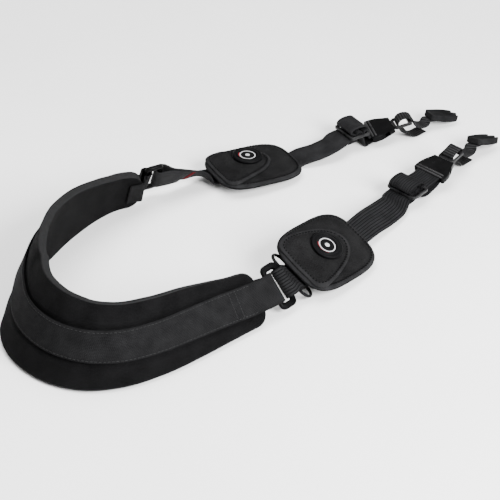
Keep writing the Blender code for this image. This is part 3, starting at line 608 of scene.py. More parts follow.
BAND, RIBBED, SMOOTH, NARROW = [woven(name, BLACK_YARN, *row) for name, row in WEBBINGS.items()]
KNIT = knit("knit_face", (0.0009, 0.0009, 0.001), (0.0066, 0.0066, 0.007), 0.00025)
POUCH_KNIT = knit("pouch_face", (0.0015, 0.0015, 0.0016), (0.015, 0.015, 0.0155), 0.0003)
RIM_TAPE = woven("rim_tape", (0.003, 0.003, 0.0032), (0.022, 0.022, 0.023), 0.8, 0.8, 1.6, 0.0003, 0.85)
FOAM = foam("cut_foam", (0.004, 0.004, 0.0042), (0.015, 0.015, 0.0155))
PLASTIC, PAINTED_HIGHLIGHT_ACETAL, MATT, WIRE = [moulded(name, *row) for name, row in MOULDINGS.items()]
RUBBER = badge_face("badge_rubber_print", (0.0025, 0.0025, 0.0027), (0.34, 0.34, 0.35), (0.2, 0.008, 0.014))
THREAD = thread("black_thread", (0.006, 0.006, 0.0063), (0.038, 0.038, 0.039))
# black thread, darkened further as painted shade of the stitch pits it sinks into
SHADE_DARKENED_THREAD = thread("thread_painted_pit_shade", (0.0006, 0.0006, 0.0007), (0.003, 0.003, 0.0032))
GREY_THREAD = thread("grey_thread", (0.02, 0.02, 0.021), (0.08, 0.08, 0.083))
RED_THREAD = thread("red_thread", (0.05, 0.003, 0.005), (0.2, 0.01, 0.016))


# ---- the neck pad and its band ----

PAD_EDGE_R = 2.6  # rounding of the edge that the pad stands on
PAD_COLUMNS = 32
PAD_RIM = 1.1  # rounding of the cut edges
PAD_ENDS = 0.7  # thickness at the very ends, as a share
EDGE_HOLLOW = 0.15  # how far the cut edge's middle draws in
FACE_SINK = 0.35  # how far the outer face lies inside the pad's thickness at its edges
BACK_SINK = 0.2
SWELL = (0.45, 14.0)  # height of the faces' swelling, and how far from the edge it is full
BACK_SWELL = 0.2  # share of it on the inner face
ROLL = (17.5, 3.5, 0.5)  # the foam's roll beside the band: off the middle line, width, height
ROLL_LEAD = 5.0
CREASE = (13.0, 1.4, 1.1)  # the crease along the band: off the middle line, width, depth
CREASE_LEAD = 12.0
BAND_STEP = 12.0
CORNER_SHARES = (0.0, 0.07, 0.27, 0.58, 1.0)  # the band's stations in the pad's rounded corners
BAND_TURN = 1.5
BAND_LEADS = {"near": -2.5, "far": 1.2}  # how far the band's ends reach along before they fold
SEAM_INSET = 1.7  # the band's long seams, in from its edges
SEAM_END = 6.0
SEAM_PITCH = 3.2
CROSS_SEAMS = (22.0, 26.5)  # seams across the band, from the pad's ends
CROSS_INSET = 2.0
CROSS_PITCH = 2.6
BAND_STITCH = (2.3, 0.22)  # length and radius of each stitch
PAD_UNEVEN = (38.0, 0.35)  # size and height of the pad's soft unevenness
PAD_SWAY = (0.6, 0.6, 0.0)


def straight_run(total, step):
    """Even steps between the pad's two corners, without the corners' own ends."""
    return np.linspace(PAD_CORNER, total - PAD_CORNER, int((total - 2 * PAD_CORNER) / step) + 1)[1:-1]


def pad_stations(step):
    """Sections of the pad: place, slope, outward, width, inset, and distances from one end and the nearer."""
    rows = np.array(PAD_ROWS)
    keys = distances(rows[:, :2])
    total = keys[-1]
    corner = PAD_CORNER * (1 - np.cos(np.linspace(0, math.pi / 2, 9)))
    wanted = np.concatenate([corner, straight_run(total, step), total - corner[::-1]])
    values = hermite(keys, rows, wanted)
    heading = unit(np.gradient(hermite(keys, rows[:, :2], wanted), wanted, axis=0))
    lean = np.radians(values[:, 2])
    inward = np.stack([heading[:, 1], -heading[:, 0], 0 * lean], axis=1)
    slope = inward * np.sin(lean)[:, None] + np.array([0, 0, 1]) * np.cos(lean)[:, None]
    outward = np.cross(slope, np.stack([heading[:, 0], heading[:, 1], 0 * lean], axis=1))
    rest = PAD_EDGE_R * (1 - np.cos(lean)) + (PAD_T / 2 - PAD_EDGE_R) * np.sin(lean)
    foot = np.stack([values[:, 0], values[:, 1], rest], axis=1) + SHIFT
    from_end = np.minimum(wanted, total - wanted)
    beyond = np.clip(PAD_CORNER - from_end, 0, None)
    inset = PAD_CORNER - np.sqrt(np.clip(PAD_CORNER ** 2 - beyond ** 2, 0, None))
    return foot, slope, outward, values[:, 3], inset, wanted, from_end


def bulge(off, place, width, height):
    """A smooth ridge beside the middle line, on both sides of it."""
    return height * np.exp(-((off - place) / width) ** 2)


def cut_edge(edge, side, pinch):
    """The rounded cut edge, each point with a 1: side is 1 at the top, round to the back, and -1 below."""
    flat = PAD_T / 2 - PAD_RIM
    arc = []
    for a in (30, 60):
        k = math.radians(a)
        arc.append((edge - side * (PAD_RIM - PAD_RIM * math.sin(k)), (flat + PAD_RIM * math.cos(k)) * pinch))
    start = [(x, side * z, 1) for x, z in arc]
    z = side * flat * pinch
    middle = [(edge, z, 1), (edge - side * EDGE_HOLLOW, 0.0, 1), (edge, -z, 1)]
    return start + middle + [(x, -side * z, 1) for x, z in arc[::-1]]


def pad_section(inset, width, from_end):
    """Points round the pad: height on it, distance outward, and 1 on the cut edge or 0 on a face."""
    low = inset
    high = width - inset
    pinch = math.sqrt(max(0.0, 1 - (1 - min(from_end / PAD_RIM, 1.0)) ** 2)) * (1 - PAD_ENDS) + PAD_ENDS
    xs = np.linspace(low + PAD_RIM, high - PAD_RIM, PAD_COLUMNS + 1)
    off = np.abs(xs - width / 2)
    from_edge = np.minimum(xs - low, high - xs)
    swell = SWELL[0] * np.sin(np.clip(from_edge / SWELL[1], 0, 1) * math.pi / 2)
    swell += bulge(off, *ROLL) * np.clip(from_edge / ROLL_LEAD, 0, 1)
    crease = bulge(off, *CREASE) * (min(from_end, CREASE_LEAD) / CREASE_LEAD)
    front = PAD_T / 2 - FACE_SINK + swell - crease
    back = PAD_T / 2 - BACK_SINK + BACK_SWELL * swell
    section = [(x, z * pinch, 0) for x, z in zip(xs, front)] + cut_edge(high, 1, pinch)
    return section + [(x, -z * pinch, 0) for x, z in zip(xs[::-1], back[::-1])] + cut_edge(low, -1, pinch)


def neck_pad():
    stations = list(zip(*pad_stations(3.0)))
    points = []
    uvs = []
    for foot, slope, outward, width, inset, run, from_end in stations:
        section = pad_section(inset, width, from_end)
        points += [foot + slope * x + outward * z for x, z, cut in section]
        uvs += [(run, x) for x, z, cut in section]
    cuts = [cut for x, z, cut in section]
    around = len(cuts)
    rows = len(stations)
    faces = closed_tube(rows, around)
    mats = [max(cuts[k], cuts[(k + 1) % around]) for k in range(around)] * (rows - 1) + [1, 1]
    points = np.array(points)
    points += wobble(points, *PAD_UNEVEN)[:, None] * np.array(PAD_SWAY)
    pad = mesh_of("neck_pad_foam", points, faces, [KNIT, FOAM], uvs, mats)
    finish(pad, "neck_pad")


def ring_fold(name, side, turn, flip=False):
    """Round one long bar of a connector ring: side is 1 for the arm's bar and -1 for the pad's."""
    bar = (RING_HOLE_W + RING_W) / 4
    arc = [(bar - FOLD_R * math.cos(a), FOLD_R * math.sin(a)) for a in np.radians((-90, -45, 0, 45, 90))]
    fold = [(bar + FOLD_LEAD, -FOLD_R)] + arc + [(bar + FOLD_LEAD, FOLD_R)]
    return [at(name, side * u, side * v, 0.0, turn, flip) for u, v in fold]


NEAR_TUCK = (6, 5, 4, 3, 2, 1)  # stations of the band's inner ends behind the pad, in order
FAR_TUCK = (1, 2, 3, 4)


def pad_band():
    """The band: from behind the pad round the near ring, along the pad, round the far ring and in again."""
    offset = PAD_T / 2 + BAND_GAP + WEB_T / 2
    foot, slope, outward, width, _, run, _ = pad_stations(4.0)
    total = run[-1]
    corner = PAD_CORNER * np.array(CORNER_SHARES)
    wanted = np.concatenate([corner, straight_run(total, BAND_STEP), total - corner[::-1]])
    pick = [nearest(run, w) for w in wanted]

    def on_pad(k, sign, reach=0.0):
        i = pick[k]
        ahead = np.cross(outward[i], slope[i])
        where = foot[i] + slope[i] * width[i] / 2 + outward[i] * offset * sign + ahead * reach
        return np.concatenate([where, slope[i]])

    last = len(pick) - 1
    route = [on_pad(k, -1) for k in NEAR_TUCK]
    route.append(on_pad(0, -1, BAND_LEADS["near"]))
    route += ring_fold("near_ring", -1, BAND_TURN)[::-1]
    route.append(on_pad(0, 1, BAND_LEADS["near"]))
    route += [on_pad(k, 1) for k in range(1, last)]
    route.append(on_pad(last, 1, BAND_LEADS["far"]))
    route += ring_fold("far_ring", -1, -BAND_TURN, True)
    route.append(on_pad(last, -1, BAND_LEADS["far"]))
    route += [on_pad(last - k, -1) for k in FAR_TUCK]
    finish(strip("pad_band", route, WEB_W, WEB_T, BAND), "pad_webbing")


def pad_stitches():
    """Two seams along the band, and two across it near each end."""
    foot, slope, outward, width, _, run, _ = pad_stations(2.0)
    middle = foot + slope * width[:, None] / 2
    surface = PAD_T / 2 + BAND_GAP + WEB_T + THREAD_LIFT
    inside = (run > SEAM_END) & (run < run[-1] - SEAM_END)
    places = []
    for side in (-1, 1):
        path = middle + slope * side * (WEB_W / 2 - SEAM_INSET) + outward * surface
        places += stitch_line(path[inside], outward[inside], SEAM_PITCH)
    across = np.linspace(-WEB_W / 2 + CROSS_INSET, WEB_W / 2 - CROSS_INSET, 12)
    for distance in CROSS_SEAMS:
        for wanted in (distance, run[-1] - distance):
            i = nearest(run, wanted)
            path = middle[i] + across[:, None] * slope[i] + outward[i] * surface
            places += stitch_line(path, outward[i], CROSS_PITCH)
    finish(stitches("pad_stitches", places, *BAND_STITCH, THREAD))


# ---- rings ----

WIRE_STEPS = (96, 16)  # along the wire, round it


def wire_ring():
    """The oval of wire on the near link, round in section."""
    count, sides = WIRE_STEPS
    tilt = math.asin(2 * (WIRE_R + WIRE_ROOM + WEB_T / 2) / WIRE_W)
    seat = Matrix.Translation((*WIRE_PLACE, POUCH_LOWER_PLY))
    seat = seat @ Matrix.Rotation(math.radians(WIRE_ROLL), 4, "X") @ Matrix.Rotation(tilt, 4, "Y")
    radius = WIRE_W / 2 - WIRE_FLAT
    path = []
    for sx, sy, start in ((1, 1, 0), (-1, 1, 90), (-1, -1, 180), (1, -1, 270)):
        for k in range(count // 4):
            a = math.radians(start + 90 * k / (count // 4 - 1))
            x = sx * (WIRE_W / 2 - radius) + radius * math.cos(a)
            y = sy * (WIRE_L / 2 - radius) + radius * math.sin(a)
            path.append((x, y))
    path = np.array(path)
    closed = np.vstack([path, path[:1]])
    keys = distances(closed)
    even = np.linspace(0, keys[-1], count, endpoint=False)
    path = np.stack([np.interp(even, keys, closed[:, k]) for k in range(2)], axis=1)
    ahead = unit(np.roll(path, -1, axis=0) - np.roll(path, 1, axis=0))
    points = []
    uvs = []
    for d, p, t in zip(even, path, ahead):
        for k in range(sides):
            a = 2 * math.pi * k / sides
            out = WIRE_R * math.cos(a)
            local = seat @ Vector((p[0] + t[1] * out, p[1] - t[0] * out, WIRE_R * math.sin(a)))
            points.append(tuple(local))
            uvs.append((d, WIRE_R * a))
    points = place("near_pouch", points)
    ring = mesh_of("near_wire_oval", points, tube_faces(count, sides, closed=True), [WIRE], uvs)
    finish(ring, "near_wire_ring")


# ---- pouches ----

def superellipse(length, width, count, power):
    a = 2 * math.pi * np.arange(count) / count
    rounded = [np.copysign(np.abs(c) ** (2 / power), c) for c in (np.cos(a), np.sin(a))]
    return np.stack([length / 2 * rounded[0], width / 2 * rounded[1]], axis=1)


def even_outline(outline, count):
    """A closed outline smoothed and spaced evenly."""
    closed = np.vstack([outline, outline[:1]])
    keys = distances(closed)
    return hermite(keys, closed, np.linspace(0.0, keys[-1], count + 1)[:-1])


def inset_outline(outline, inset):
    middle = (outline.max(axis=0) + outline.min(axis=0)) / 2
    half = (outline.max(axis=0) - outline.min(axis=0)) / 2
    return middle + (outline - middle) * (half - inset) / half


def thin_out(points):
    """Thins the pouch towards its rim, which what lies on top follows, and the flap towards its sewn end."""
    half = np.array(RIM_SIZE) / 2
    share = np.clip((np.abs(points[:, :2] / half) ** THINNING_POWER).sum(axis=1), 0.0, 1.0)
    held = np.clip(points[:, 2], -POUCH_HALF_T, POUCH_HALF_T)
    thinned = points.copy()
    thinned[:, 2] -= held * (RIM_THINNING * share)
    above = np.clip(points[:, 2] - POUCH_HALF_T - GAP, 0.0, None)
    pressed = np.clip((SEWN_FROM - points[:, 0]) / SEWN_LENGTH, 0.0, 1.0)
    thinned[:, 2] -= SEWN_PRESS * pressed * above
    return thinned


UNEVEN_SIZE = 16.0  # of the pouches' soft unevenness
UNEVEN_SHIFT = 3.1  # gives pieces with names of other lengths an unevenness of their own


def pillow(name, frame_name, outline, rows, lift, uneven):
    """A soft flat piece closed top and bottom: each row draws the outline in and sets a height.

    Its faces out to RIM_BAND from the edge, on top, are the sewn rim.
    """
    count = len(outline)
    rings = [[(x, y, z + lift) for x, y in inset_outline(outline, inset)] for inset, z in rows]
    middle = (outline.max(axis=0) + outline.min(axis=0)) / 2
    local, faces = capped_rings(rings, [(*middle, rows[k][1] + lift) for k in (0, -1)])
    on_rim = [rows[k][1] > RIM_FROM and rows[k + 1][0] < RIM_BAND for k in range(len(rows) - 1)]
    slots = [int(rim) for rim in on_rim for k in range(count)] + [0] * (2 * count)
    shifted = local.copy()
    shifted[:, 2] += wobble(local + len(name) * UNEVEN_SHIFT, UNEVEN_SIZE, uneven)
    points = place(frame_name, thin_out(shifted))
    return mesh_of(name, points, faces, [POUCH_KNIT, RIM_TAPE], local[:, :2], slots)


POUCH_ROWS = (
    # inset, height
    (24.0, -5.0), (14.0, -5.0), (7.0, -5.0), (5.4, -4.85), (4.2, -4.3), (3.2, -4.6), (1.9, -4.35),
    (0.8, -3.6), (0.15, -2.2), (0.0, -0.9), (0.3, -0.25), (0.45, 0.0), (0.3, 0.25), (0.0, 0.9),
    (0.15, 2.4), (0.7, 3.9), (1.5, 4.7), (2.4, 4.95), (3.2, 4.6), (3.8, 3.2), (4.3, 3.3),
    (5.2, 4.5), (6.4, 5.0), (8.5, 5.1), (11.0, 5.1), (14.0, 5.1), (18.0, 5.1), (24.0, 5.1),
)

FLAP_HALF = (
    # along, half width
    (-38.8, 14.0), (-38.2, 20.5), (-35.4, 25.0), (-29.0, 27.0), (-22.0, 26.3), (-12.0, 24.0),
    (0.0, 20.0), (8.0, 16.0), (14.0, 11.0), (17.5, 6.0), (19.0, 0.0),
)

FLAP_ROWS = (
    # inset, height above the base
    (18.0, 0.0), (12.0, 0.0), (8.0, 0.0), (4.0, 0.0), (0.8, 0.0), (0.2, 0.4), (0.0, 1.0),
    (0.0, 1.9), (0.3, 2.5), (1.0, 2.85), (2.2, 2.85), (3.2, 2.7), (3.9, 1.7), (4.4, 1.55),
    (5.2, 2.2), (6.5, 2.45), (9.0, 2.5), (12.0, 2.5), (15.0, 2.5), (18.0, 2.5),
)

BADGE_PROFILE = (
    # radius, height
    (0.0, 1.65), (4.0, 1.62), (7.9, 1.5), (8.2, 1.6), (8.5, 2.3), (8.9, 2.6), (9.6, 2.65),
    (10.1, 2.4), (10.4, 1.85), (10.7, 1.7), (11.2, 1.75), (11.6, 2.2), (12.0, 2.4), (12.8, 2.25),
    (13.3, 1.75), (13.6, 1.1), (13.6, 0.0), (0.0, 0.0),
)


RIM_SEAM = (3.2, 4.65)  # the pouch's seam: in from its edge, up
FLAP_SEAM = (3.1, 2.75)  # the flap's
RIM_PITCH = 2.9
RIM_STITCH = (1.9, 0.66)
BASE_UNEVEN = 0.22
FLAP_UNEVEN = 0.15
BASE_POINTS = 144
FLAP_POINTS = 150
BADGE_POINTS = 96


def flap_outline(side):
    shift = FLAP_SHIFT[side]
    half = [(u + shift * min(max((u - FLAP_FIXED) / FLAP_BLEND, 0.0), 1.0), w) for u, w in FLAP_HALF]
    mirrored = half[:-1][::-1] + [(u, -w) for u, w in half[:-1]] + [half[-1]]
    return even_outline(np.array(mirrored), FLAP_POINTS)


def rim_seam(frame_name, outline, inset, height):
    """Stitch places along a rim, drawn in from the outline."""
    path = np.array([(x, y, height) for x, y in inset_outline(outline, inset)])
    return stitch_line(place(frame_name, thin_out(path)), axes(frame_name)[3], RIM_PITCH, closed=True)


def pouch(side):
    frame_name = side + "_pouch"
    outline = superellipse(*RIM_SIZE, BASE_POINTS, POUCH_POWER)
    base = pillow(side + "_pouch_body", frame_name, outline, POUCH_ROWS, 0.0, BASE_UNEVEN)
    finish(base, side + "_pouch_base")
    lift = POUCH_HALF_T + GAP
    shape = flap_outline(side)
    flap = pillow(side + "_pouch_cover", frame_name, shape, FLAP_ROWS, lift, FLAP_UNEVEN)
    finish(flap, side + "_pouch_flap")
    places = rim_seam(frame_name, outline, *RIM_SEAM)
    places += rim_seam(frame_name, shape, FLAP_SEAM[0], lift + FLAP_SEAM[1])
    # the rim seams take the thread darkened by painted shade
    finish(stitches(side + "_pouch_stitches", places, *RIM_STITCH, SHADE_DARKENED_THREAD))


def badge(side):
    turns = 2 * math.pi * np.arange(BADGE_POINTS) / BADGE_POINTS
    rings = [[(r * math.cos(a), r * math.sin(a), z) for a in turns] for r, z in BADGE_PROFILE[1:-1]]
    local, faces = capped_rings(rings, [(0.0, 0.0, BADGE_PROFILE[k][1]) for k in (0, -1)])
    lift = POUCH_HALF_T + GAP + FLAP_T + GAP + BADGE_LIFT
    points = place(side + "_pouch", local + (*BADGE_PLACE[side], lift))
    disc = mesh_of(side + "_badge_disc", points, faces, [RUBBER], local[:, :2])
    finish(disc, side + "_badge")


# ---- arm webbing ----

ROLLS = {
    # the roll over each triglide: shift along, reach along as a share, height above the triglide's middle
    "near": (-2.2, 1.0, 9.0),
    "far": (-0.4, 0.95, 8.2),
}

INNER_END = {
    # the arm's inner end on the pouch's underside, in the pouch's frame: along, up, across
    "near": ((-24.0, POUCH_LOWER_PLY, -2.4), (-34.0, POUCH_LOWER_PLY, -2.4), (-40.5, POUCH_LOWER_PLY, -2.4)),
    "far": (),
}

LOWER_LINKS = {
    # the lower ply between pouch and ring: frame, height above it
    "near": (("_link", -3.0),),
    "far": (("_link_2", -1.1), ("_link_1", -1.6)),
}

UPPER_LINKS = {
    # the upper ply between ring and pouch: frame, height above it
    "near": (("_link", 4.0),),
    "far": (("_link_1", 1.6), ("_link_2", 0.8), ("_link_3", 0.0)),
}

POUCH_LEADS = {
    # the webbing on its way under each pouch, in the pouch's frame: along, up, across
    "near": ((-42.5, -3.2, -2.3), (-38.3, -5.8, -2.2), (-35.5, UNDER_PLY, -2.1)),
    "far": ((-42.0, UNDER_PLY, 8.6), (-36.0, UNDER_PLY, 7.6)),
}

POUCH_RUN = (
    # on under either pouch
    (0.0, UNDER_PLY, 1.0), (34.0, UNDER_PLY, 3.0), (41.0, UNDER_PLY, 3.4),
)

HOOK_LEADS = {
    # the webbing between triglide and buckle, in the triglide's frame: along, up, across, turn
    "near": (13.0, -1.8, 0.0, 0.0),
    "far": (11.4, -6.3, 0.0, 5.0),
}

HOOK_ENTRIES = {
    # where it comes in under the buckle's lip, in the buckle's frame: along, up
    "near": (-5.0, 1.2),
    "far": (-4.6, 1.9),
}

ROLL_SHAPE = (
    # along, and up as a share of the roll's height
    (-7.8, 0.33), (-9.4, 0.55), (-7.6, 0.84), (-3.0, 1.0), (3.0, 1.0),
    (7.6, 0.84), (9.4, 0.55), (7.8, 0.33),
)

TRI_IN = (
    # along, up: below the triglide and up through its first slot
    (-13.0, -2.7), (-9.5, -2.6), (-7.2, -2.5), (-5.2, -1.0), (-5.2, 1.6),
)

TRI_OUT = (
    # along, up: down through the second slot and on below the edge bar
    (5.2, 1.6), (5.2, -1.0), (7.2, -2.9), (9.5, -3.5),
)

TRI_BACK = (
    # along, up: the returning end, over the middle bar and back below
    (2.95, -1.4), (2.7, 1.4), (1.4, 2.8), (-1.4, 2.8), (-2.7, 1.4),
    (-2.95, -1.4), (-4.2, -4.2), (-7.6, -5.2), (-13.0, -5.4),
)

BAR_WRAP = (
    # along, up: over the buckle's bar, down behind it and back under it
    (-1.5, 1.4), (0.6, 1.4), (2.0, 1.05), (2.35, 0.0), (2.35, -1.8),
    (2.0, -2.95), (0.6, -3.2), (-1.5, -3.3), (-4.2, -4.4),
)

RETURNS = {
    # the hanging return ply in the triglide's frame: along, up, across, turn
    "near": ((20.0, -8.0, 0.0, 0.0), (13.5, -9.2, 0.0, 0.0), (8.0, -7.6, 0.0, 0.0), (4.5, -5.0, 0.0, 0.0)),
    "far": ((9.8, -13.7, 0.8, 8.0), (6.8, -13.4, 0.4, 3.0), (4.3, -6.8, 0.0, 0.0)),
}

END_WRAP = (
    # along, up: from the narrow webbing's inner end, over the end plug's bar and out below its rear wall
    (-1.5, -1.8), (-1.6, -0.5), (-1.25, 0.55), (0.3, 0.9), (1.95, 0.7),
    (2.45, -0.4), (2.45, -1.8), (1.8, -2.9), (0.3, -3.35), (-2.5, -4.0),
    (-5.0, -4.2),
)

FRAME_WRAPS = {
    # over the frame at each buckle's narrow end and down through its slot: along, up
    "near": ((3.3, -1.2), (3.3, 1.4), (2.3, 3.6), (0.3, 4.7), (-3.0, 4.7),
             (-7.0, 3.9), (-10.3, 2.8), (-11.3, 0.9), (-11.3, -1.2), (-10.2, -3.2)),
    "far": ((3.3, -1.2), (3.3, 1.4), (1.6, 3.9), (-1.8, 5.6), (-5.5, 6.1),
            (-9.0, 5.1), (-10.9, 2.9), (-11.3, 0.6), (-11.3, -1.6), (-10.8, -3.6)),
}

TAIL_DROPS = {
    # the free tail below that slot, from the same bar: along, up
    "near": ((-6.5, -5.6), (-2.5, -9.0)),
    "far": ((-9.3, -6.6), (-6.0, -9.5)),
}


def arm_route(side):
    """Round the connector ring, under the pouch, over the triglide, round the buckle bar and back under."""
    pocket = side + "_pouch"
    tri = side + "_triglide"
    hook = side + "_buckle"
    turn = -2.0 if side == "near" else 2.0
    route = in_frame(pocket, INNER_END[side])
    route += [at(side + name, 0.0, v) for name, v in LOWER_LINKS[side]]
    route += ring_fold(side + "_ring", 1, turn)
    route += [at(side + name, 0.0, v) for name, v in UPPER_LINKS[side]]
    route += in_frame(pocket, POUCH_LEADS[side] + POUCH_RUN)
    route += [at(side + "_arm_%d" % k, 0.0, 0.0) for k in (1, 2, 3)]
    route += in_frame(tri, TRI_IN)
    shift, reach, top = ROLLS[side]
    route += [at(tri, u * reach + shift, v * top) for u, v in ROLL_SHAPE]
    route += in_frame(tri, TRI_OUT + (HOOK_LEADS[side],))
    route += in_frame(hook, (HOOK_ENTRIES[side],) + BAR_WRAP)
    return route + in_frame(tri, RETURNS[side] + TRI_BACK)


def narrow_route(side):
    """From the end plug's bar to the buckle's narrow end, over its bar, down the slot and out as a tail."""
    route = in_frame(side + "_plug", END_WRAP)
    route += [at(side + name, 0.0, 0.0) for name in ("_strap_2", "_strap_1")]
    route += [at(side + "_buckle", BUCKLE_END + u, v) for u, v in FRAME_WRAPS[side] + TAIL_DROPS[side]]
    return route + [at(side + name, 0.0, 0.0) for name in ("_tail_1", "_tail_2")]


def arms():
    near = strip("near_arm_strap", arm_route("near"), WEB_W, WEB_T, RIBBED, NEAR_RIBS, RIB_DEPTH)
    finish(near, "near_arm_webbing")
    far = strip("far_arm_strap", arm_route("far"), WEB_W, WEB_T, SMOOTH)
    finish(far, "far_arm_webbing")
    for side in ("near", "far"):
        tail = strip(side + "_narrow_strap", narrow_route(side), NARROW_W, NARROW_T, NARROW, longest=2.0)
        finish(tail, side + "_narrow_webbing")


TOWARDS_VIEWER = np.array([0.0, -0.83, 0.56])  # the side of the webbing that the stitches are on
TACK_PLACE = (6.5, 0.0, 0.6)  # in far_link_2's frame
TACK_ROWS = (-1.2, 0.0, 1.2)  # along the webbing from there
GREY_ROWS = (1.5, 4.5)  # along the webbing from its inner end
TACK_REACH = 0.86  # share of the webbing's width that each row takes
GREY_REACH = 0.8
TACK_PITCH = 1.5
GREY_PITCH = 2.4
TACK_STITCH = (1.4, 0.3)
GREY_STITCH = (1.7, 0.25)


def tacks():
    """Red bar tack and grey stitch rows on the far link, where its folded end is sewn down."""
    centres, sides, normals, run = smooth_route(arm_route("far"), longest=1.0)
    spot = place("far_link_2", [TACK_PLACE])[0]
    home = int(np.argmin(np.linalg.norm(centres - spot, axis=1)))

    def across_row(i, reach):
        outward = normals[i] * math.copysign(1.0, normals[i] @ TOWARDS_VIEWER)
        shares = np.linspace(-reach, reach, 14)
        path = centres[i] + shares[:, None] * sides[i] * WEB_W / 2 + outward * (WEB_T / 2 + THREAD_LIFT)
        return path, outward

    red = []
    for offset in TACK_ROWS:
        red += stitch_line(*across_row(nearest(run, run[home] + offset), TACK_REACH), TACK_PITCH)
    finish(stitches("far_link_tack", red, *TACK_STITCH, RED_THREAD))
    grey = []
    for offset in GREY_ROWS:
        grey += stitch_line(*across_row(nearest(run, offset), GREY_REACH), GREY_PITCH)
    finish(stitches("far_link_stitches", grey, *GREY_STITCH, GREY_THREAD))


# ---- hard fittings ----

EDGE_DEG = 28.0  # edges sharper than this are rounded
RIDGES = (-1.0, 1.9)  # the ridges' places along the buckle
RIDGE_R = 0.9
RIDGE_HALF_L = 14.9
RIDGE_SINK = 0.25
RIDGE_POWER = 12  # how late towards its ends a ridge thins
RIDGE_TIP = 0.02
RING_EDGE = 0.5  # rounding of the fittings' edges
SLIDE_EDGE = 0.35
BUCKLE_EDGE = 0.3
PLUG_EDGE = 0.4


def moulding(name, node, width, mat):
    """A moulded piece of the node's own shape, its edges rounded."""
    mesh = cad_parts[node].data.copy()
    mesh.name = name
    settle(mesh, weld=True)
    mesh.materials.clear()
    mesh.materials.append(mat)
    obj = new_object(name, mesh)
    edge = obj.modifiers.new("edge", "BEVEL")
    edge.width = width * MM
    edge.segments = 3
    edge.limit_method = "ANGLE"
    edge.angle_limit = math.radians(EDGE_DEG)
    edge.harden_normals = True
    finish(obj, node)


def lip_ridges(side):
    """Two round ridges across the top of a buckle's wide end."""
    sides = 10
    shares = np.linspace(-1.0, 1.0, 13)
    points = []
    faces = []
    for u in RIDGES:
        start = len(points)
        for share in shares:
            thick = RIDGE_R * math.sqrt(max(RIDGE_TIP, 1 - abs(share) ** RIDGE_POWER))
            for k in range(sides):
                a = 2 * math.pi * k / sides
                up = SOCKET_HALF_T - RIDGE_SINK + thick * math.sin(a)
                points.append((u + thick * math.cos(a), share * RIDGE_HALF_L, up))
        faces += closed_tube(len(shares), sides, start)
    points = place(side + "_buckle", points)
    # the ridges take the acetal with the stronger painted edge highlight
    finish(mesh_of(side + "_lip_ridges", points, faces, [PAINTED_HIGHLIGHT_ACETAL], points[:, :2]))


def fittings():
    for side in ("near", "far"):
        moulding(side + "_oblong_ring", side + "_connector_ring", RING_EDGE, PLASTIC)
        # slides and buckle inserts take the acetal with the stronger painted edge highlight
        moulding(side + "_slide", side + "_triglide", SLIDE_EDGE, PAINTED_HIGHLIGHT_ACETAL)
        moulding(side + "_buckle_body", side + "_buckle_socket", BUCKLE_EDGE, PLASTIC)
        lip_ridges(side)
        moulding(side + "_buckle_insert", side + "_buckle_plug", BUCKLE_EDGE, PAINTED_HIGHLIGHT_ACETAL)
        moulding(side + "_end_insert", side + "_end_plug", PLUG_EDGE, MATT)


# ---- floor, light and camera ----

FLOOR_HALF = 4000.0
FLOOR_TONES = ((0.86, 0.86, 0.86), (0.9, 0.9, 0.9))
FLOOR_CLOUD = 0.004  # clouds per millimetre
FLOOR_ROUGHNESS = (0.75, 0.85)
CAMERA_M = np.array([0.0, -0.99484, 0.67103])  # in metres, in the tables' frame
CAMERA_PITCH = 56.0
LENS_MM = 103.68
SENSOR_MM = 36.0

LIGHTS = {
    # name: place in metres, size in metres, watts
    "key": ((0.76, -0.84, 0.76), (0.65, 0.65), 68.0),
    "top": ((-0.2, 0.2, 1.7), (1.6, 1.2), 50.0),
}

SKY = {"From Min": 0.12, "From Max": 0.75, "To Min": 0.06, "To Max": 1.0}  # strength by height in the sky


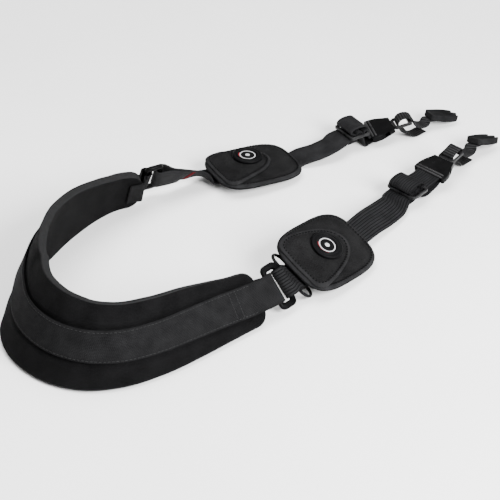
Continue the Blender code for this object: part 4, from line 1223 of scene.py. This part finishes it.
def pale_floor():
    points = [(FLOOR_HALF * x, FLOOR_HALF * y, 0.0) for x, y in ((-1, -1), (1, -1), (1, 1), (-1, 1))]
    n = Nodes("pale_floor")
    cloud = n.noise(n.place_mm(), FLOOR_CLOUD, 2.0)
    n.surface(Base_Color=n.blend(n.soft(cloud, 0.0, 1.0), *FLOOR_TONES))
    n.surface(Roughness=n.soft(cloud, *FLOOR_ROUGHNESS))
    floor = mesh_of("floor", points, [(0, 1, 2, 3)], [n.mat], [p[:2] for p in points])


def area_light(name, place_m, size, power):
    """A soft light that points at the middle of the floor."""
    data = bpy.data.lights.new(name, "AREA")
    data.shape = "RECTANGLE"
    data.size, data.size_y = size
    data.energy = power
    lamp = new_object(name, data)
    lamp.location = place_m
    lamp.rotation_euler = (-Vector(place_m)).to_track_quat("-Z", "Y").to_euler()


def soft_world():
    """White light from all round, strongest overhead and dimmer towards the horizon."""
    world = bpy.data.worlds.new("studio_world")
    world.use_nodes = True
    tree = world.node_tree
    direction = tree.nodes.new("ShaderNodeTexCoord")
    parts = tree.nodes.new("ShaderNodeSeparateXYZ")
    strength = tree.nodes.new("ShaderNodeMapRange")
    for key, value in SKY.items():
        strength.inputs[key].default_value = value
    tree.links.new(direction.outputs["Generated"], parts.inputs[0])
    tree.links.new(parts.outputs["Z"], strength.inputs["Value"])
    tree.links.new(strength.outputs[0], tree.nodes["Background"].inputs[1])
    tree.nodes["Background"].inputs[0].default_value = (1.0, 1.0, 1.0, 1.0)
    bpy.context.scene.world = world


def studio():
    pale_floor()
    soft_world()
    for name, row in LIGHTS.items():
        area_light(name, *row)
    camera = new_object("camera", bpy.data.cameras.new("camera"))
    camera.data.sensor_width = SENSOR_MM
    camera.data.lens = LENS_MM
    camera.location = tuple(CAMERA_M + SHIFT * MM)
    camera.rotation_euler = (math.radians(CAMERA_PITCH), 0.0, 0.0)
    bpy.context.scene.camera = camera


studio()
neck_pad()
pad_band()
pad_stitches()
wire_ring()
for part_side in ("near", "far"):
    pouch(part_side)
    badge(part_side)
arms()
tacks()
fittings()
